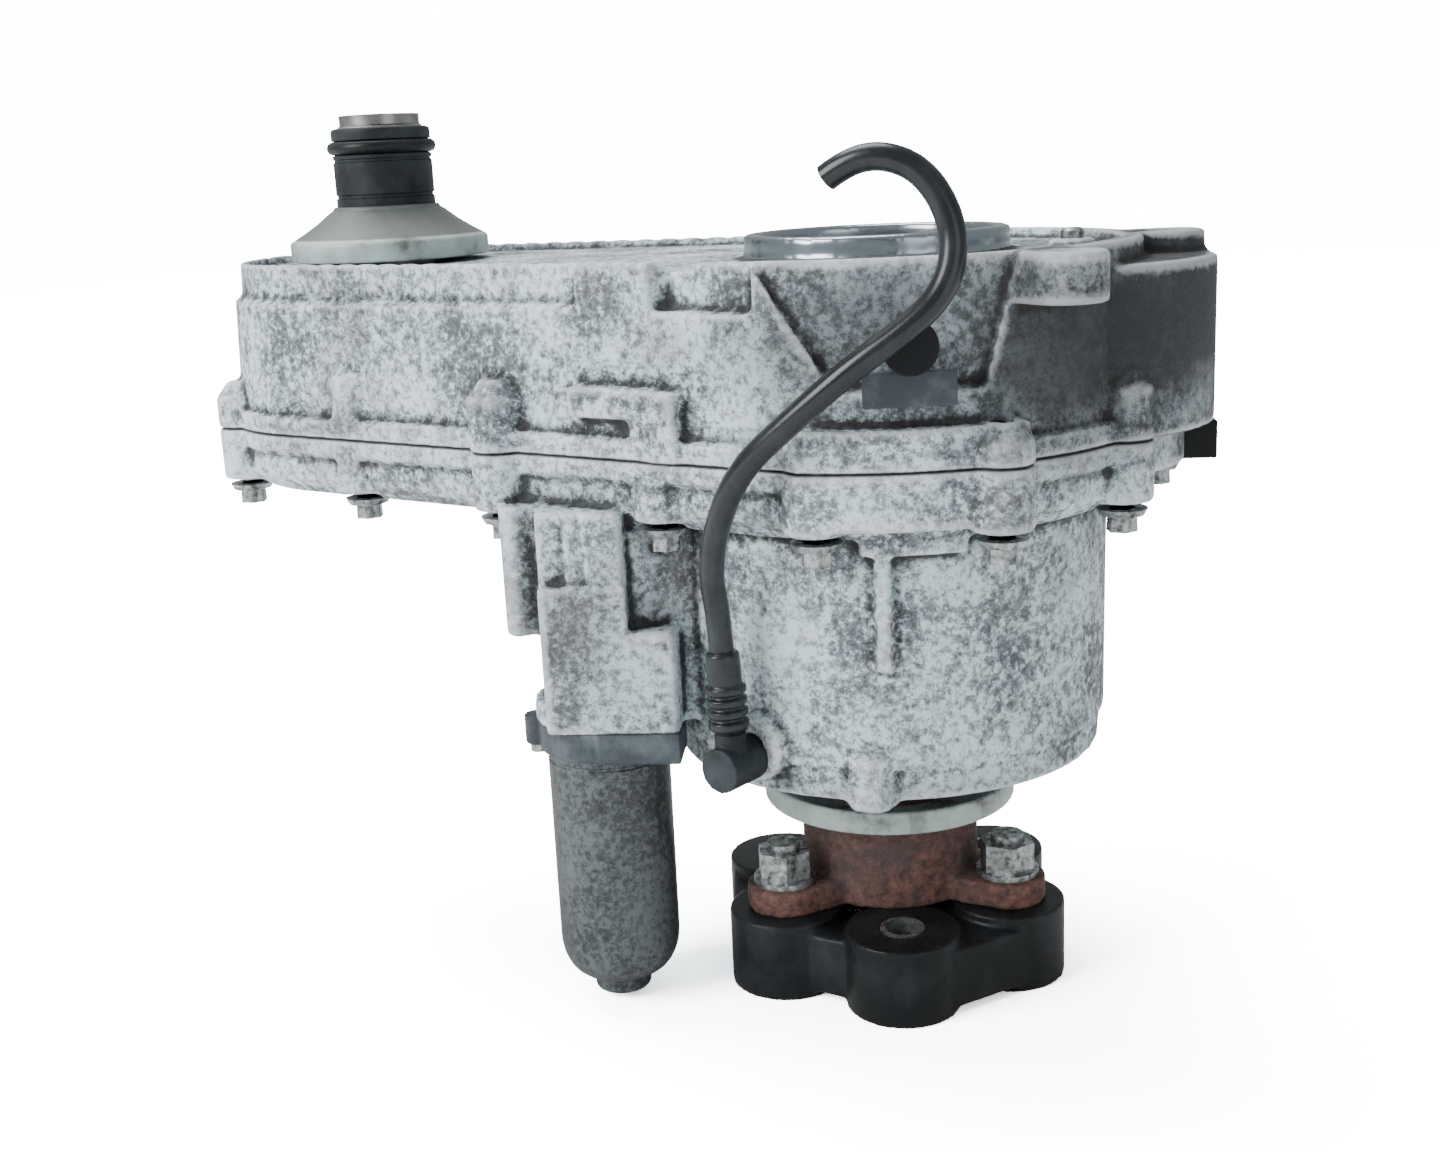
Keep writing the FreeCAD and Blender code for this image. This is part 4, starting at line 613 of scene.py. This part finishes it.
# cap, with a dimple in its end
CAP = 10.5
CAP_TOP = -254
spun("motor_end_cap", "motor_silver_cap", [
    (0, -262.6), (2.4, -262.8), (3.8, -264.2), (5, -264.5), *arc(8.5, -262.5, 2, 2, -90, 0, 5),
    (CAP, CAN_FOOT), (9, CAN_FOOT), (9, CAP_TOP), (0, CAP_TOP)])

# dust ring, a pressed dish with an upturned rolled rim
RING_BORE = 24
spun("dust_ring", "pressed_dust_ring", [
    (RING_BORE, -202.5), *arc(46.4, -201.5, 1, 1, -90, 0, 4), *arc(46.4, -195, 1, 1, 0, 180, 6),
    (45.4, -199.4), *arc(44.4, -199.5, 1, 1, 0, -90, 4), (RING_BORE, -200.5)])

# shield, a thin dished cone on a short rim
OUTPUT_BORE = 17.5
SHIELD_TOP = 23
SHIELD_INSIDE = 38
spun("output_shield", "pressed_output_shield", [
    (SHIELD_INSIDE, 2), *arc(39, 3, 1, 1, -90, 0, 4), *arc(37.5, 8.5, 2.5, 2, 0, 60, 4), (34, 13),
    (28.5, 16.6), (24, 20.2), *arc(20.2, 21, 1.6, 2, 20, 90, 4), (OUTPUT_BORE, SHIELD_TOP),
    (OUTPUT_BORE, 21), (19.8, 21), (SHIELD_INSIDE, 9)])

# sleeve, with two fine lines and the wide groove that the sealing ring sits in
SLEEVE = 19.8
FINE_LINE = 19.2
WIDE_GROOVE = 18.6
spun("output_sleeve", "grooved_output_sleeve", [
    (OUTPUT_BORE, SHIELD_TOP), (SLEEVE, SHIELD_TOP), (SLEEVE, 26), (FINE_LINE, 26.4), (FINE_LINE, 27.4),
    (SLEEVE, 27.8), (SLEEVE, 40.2), (FINE_LINE, 40.6), (FINE_LINE, 41.4), (SLEEVE, 41.8), (SLEEVE, 43),
    (WIDE_GROOVE, 43.4), (WIDE_GROOVE, 48.6), (SLEEVE, 49), (SLEEVE, 51.4),
    *arc(18.4, 52.2, 1.4, 1.4, 0, 90, 4), (OUTPUT_BORE, 53.6)])

# sealing ring, bulging out of the groove
SEAL_MIDDLE = 46
SEAL_HALF = 2.5
spun("sealing_ring", "bulging_seal_ring", [
    (WIDE_GROOVE, SEAL_MIDDLE - SEAL_HALF), *arc(19.2, SEAL_MIDDLE, 2.6, 2.6, -90, 90, 12),
    (WIDE_GROOVE, SEAL_MIDDLE + SEAL_HALF)])

# ------------------------------------------------------------------ softened castings and mouldings
# The flexible disc, the forged flange, the motor's flange and plug, the elbow, the cuff, the clip
# and the block keep their solids' shapes, with every edge rounded as a mould or a forging leaves it.
SOFT = [
    # node, name, voxel, rounds of smoothing
    ("flex_disc", "flexible_disc", 0.00085, 4),
    ("rear_flange", "forged_rear_flange", 0.0009, 6),
    ("motor_flange", "motor_cast_flange", 0.0007, 3),
    ("motor_connector", "motor_plug", 0.0004, 3),
    ("vent_elbow", "vent_port_elbow", 0.00045, 4),
    ("hose_cuff", "ribbed_hose_cuff", 0.00035, 3),
    ("hose_bracket", "clip_plate", 0.0004, 3),
    ("hose_clip", "clip_knob", 0.0004, 3),
    ("side_block", "black_side_block", 0.0005, 3),
]
MOST_SOFT = 60000
for label, name, voxel, rounds in SOFT:
    stand_in(cast_skin(merged_copy(name, label), voxel, rounds, MOST_SOFT), label)

# ------------------------------------------------------------------ seam bolts
# Flanged bolts with six-lobed heads, screwed up into the bosses from below, all made by one
# Geometry Nodes tree at the middles of the CAD node's bolts.
BOLT_INPUTS = {"Head Radius": 0.0056, "Head Height": 0.008, "Flange Radius": 0.0086, "Flange Height": 0.0024}
BOLT_CREASE = math.radians(35)
FLANGE_SIDES = 28
FLANGE_NARROW = 0.86
LOBE_DEPTH = 0.8
LOBE_SOFTNESS = 0.001
HEAD_TAPER = 0.93


def bolt_tree():
    """Flanged six-lobed bolt head, hanging below each point of the mesh."""
    made = bpy.data.node_groups.new("lobed_bolts", "GeometryNodeTree")
    made.interface.new_socket("Geometry", in_out="INPUT", socket_type="NodeSocketGeometry")
    for name, value in BOLT_INPUTS.items():
        socket = made.interface.new_socket(name, in_out="INPUT", socket_type="NodeSocketFloat")
        socket.default_value = value
    made.interface.new_socket("Finish", in_out="INPUT", socket_type="NodeSocketMaterial")
    made.interface.new_socket("Geometry", in_out="OUTPUT", socket_type="NodeSocketGeometry")
    given = made.nodes.new("NodeGroupInput").outputs
    out = made.nodes.new("NodeGroupOutput")
    star = wire(made, "GeometryNodeCurveStar", {
        "Points": 6, "Inner Radius": math_node(made, "MULTIPLY", given["Head Radius"], LOBE_DEPTH),
        "Outer Radius": given["Head Radius"]})
    soft = wire(made, "GeometryNodeFilletCurve", {
        0: star.outputs["Curve"], "Radius": LOBE_SOFTNESS, "Count": 3}, mode="POLY")
    disc = wire(made, "GeometryNodeFillCurve", {0: soft.outputs[0]})
    grown = wire(made, "GeometryNodeExtrudeMesh", {
        0: disc.outputs[0], "Offset Scale": given["Head Height"], "Individual": False})
    tapered = wire(made, "GeometryNodeScaleElements", {
        0: grown.outputs[0], "Selection": grown.outputs["Top"], "Scale": HEAD_TAPER})
    drop = wire(made, "ShaderNodeCombineXYZ", {
        "Z": math_node(made, "MULTIPLY", given["Head Height"], -1.0)})
    head = wire(made, "GeometryNodeTransform", {0: tapered.outputs[0], "Translation": drop.outputs[0]})
    flange = wire(made, "GeometryNodeMeshCone", {
        "Vertices": FLANGE_SIDES, "Radius Top": given["Flange Radius"],
        "Radius Bottom": math_node(made, "MULTIPLY", given["Flange Radius"], FLANGE_NARROW),
        "Depth": given["Flange Height"]})
    sink = wire(made, "ShaderNodeCombineXYZ", {
        "Z": math_node(made, "MULTIPLY", given["Flange Height"], -1.0)})
    seated = wire(made, "GeometryNodeTransform", {0: flange.outputs[0], "Translation": sink.outputs[0]})
    bolt = wire(made, "GeometryNodeJoinGeometry")
    made.links.new(head.outputs[0], bolt.inputs[0])
    made.links.new(seated.outputs[0], bolt.inputs[0])
    spread = wire(made, "GeometryNodeInstanceOnPoints", {
        "Points": given["Geometry"], "Instance": bolt.outputs[0]})
    real = wire(made, "GeometryNodeRealizeInstances", {0: spread.outputs[0]})
    painted = wire(made, "GeometryNodeSetMaterial", {0: real.outputs[0], "Material": given["Finish"]})
    made.links.new(painted.outputs[0], out.inputs[0])
    return made


def islands(label):
    """Boxes of the separate solids of a CAD node, as (low, high)."""
    form = bmesh.new()
    form.from_mesh(frame["nodes"][label].data)
    bmesh.ops.remove_doubles(form, verts=form.verts, dist=WELD)
    left = set(form.verts)
    boxes = []
    while left:
        group = [left.pop()]
        for vert in group:
            for edge in vert.link_edges:
                other = edge.other_vert(vert)
                if other in left:
                    left.remove(other)
                    group.append(other)
        spots = [vert.co for vert in group]
        boxes.append([Vector(pick(spot[axis] for spot in spots) for axis in range(3))
                      for pick in (min, max)])
    form.free()
    return boxes


seats = [((low.x + high.x) / 2, (low.y + high.y) / 2, low.z + BOLT_INPUTS["Head Height"])
         for low, high in islands("case_bolts")]
seat_mesh = bpy.data.meshes.new("seam_bolts")
seat_mesh.from_pydata(seats, [], [])
seam_bolts = mesh_piece("seam_bolts", seat_mesh)
grow = seam_bolts.modifiers.new("lobed_bolts", "NODES")
grow.node_group = bolt_tree()
sockets = {item.name: item.identifier for item in grow.node_group.interface.items_tree}
grow[sockets["Head Height"]] = BOLT_INPUTS["Head Height"]
grow[sockets["Finish"]] = zinc_steel
applied(seam_bolts)
stand_in(seam_bolts, "case_bolts")
seam_bolts.data.set_sharp_from_angle(angle=BOLT_CREASE)
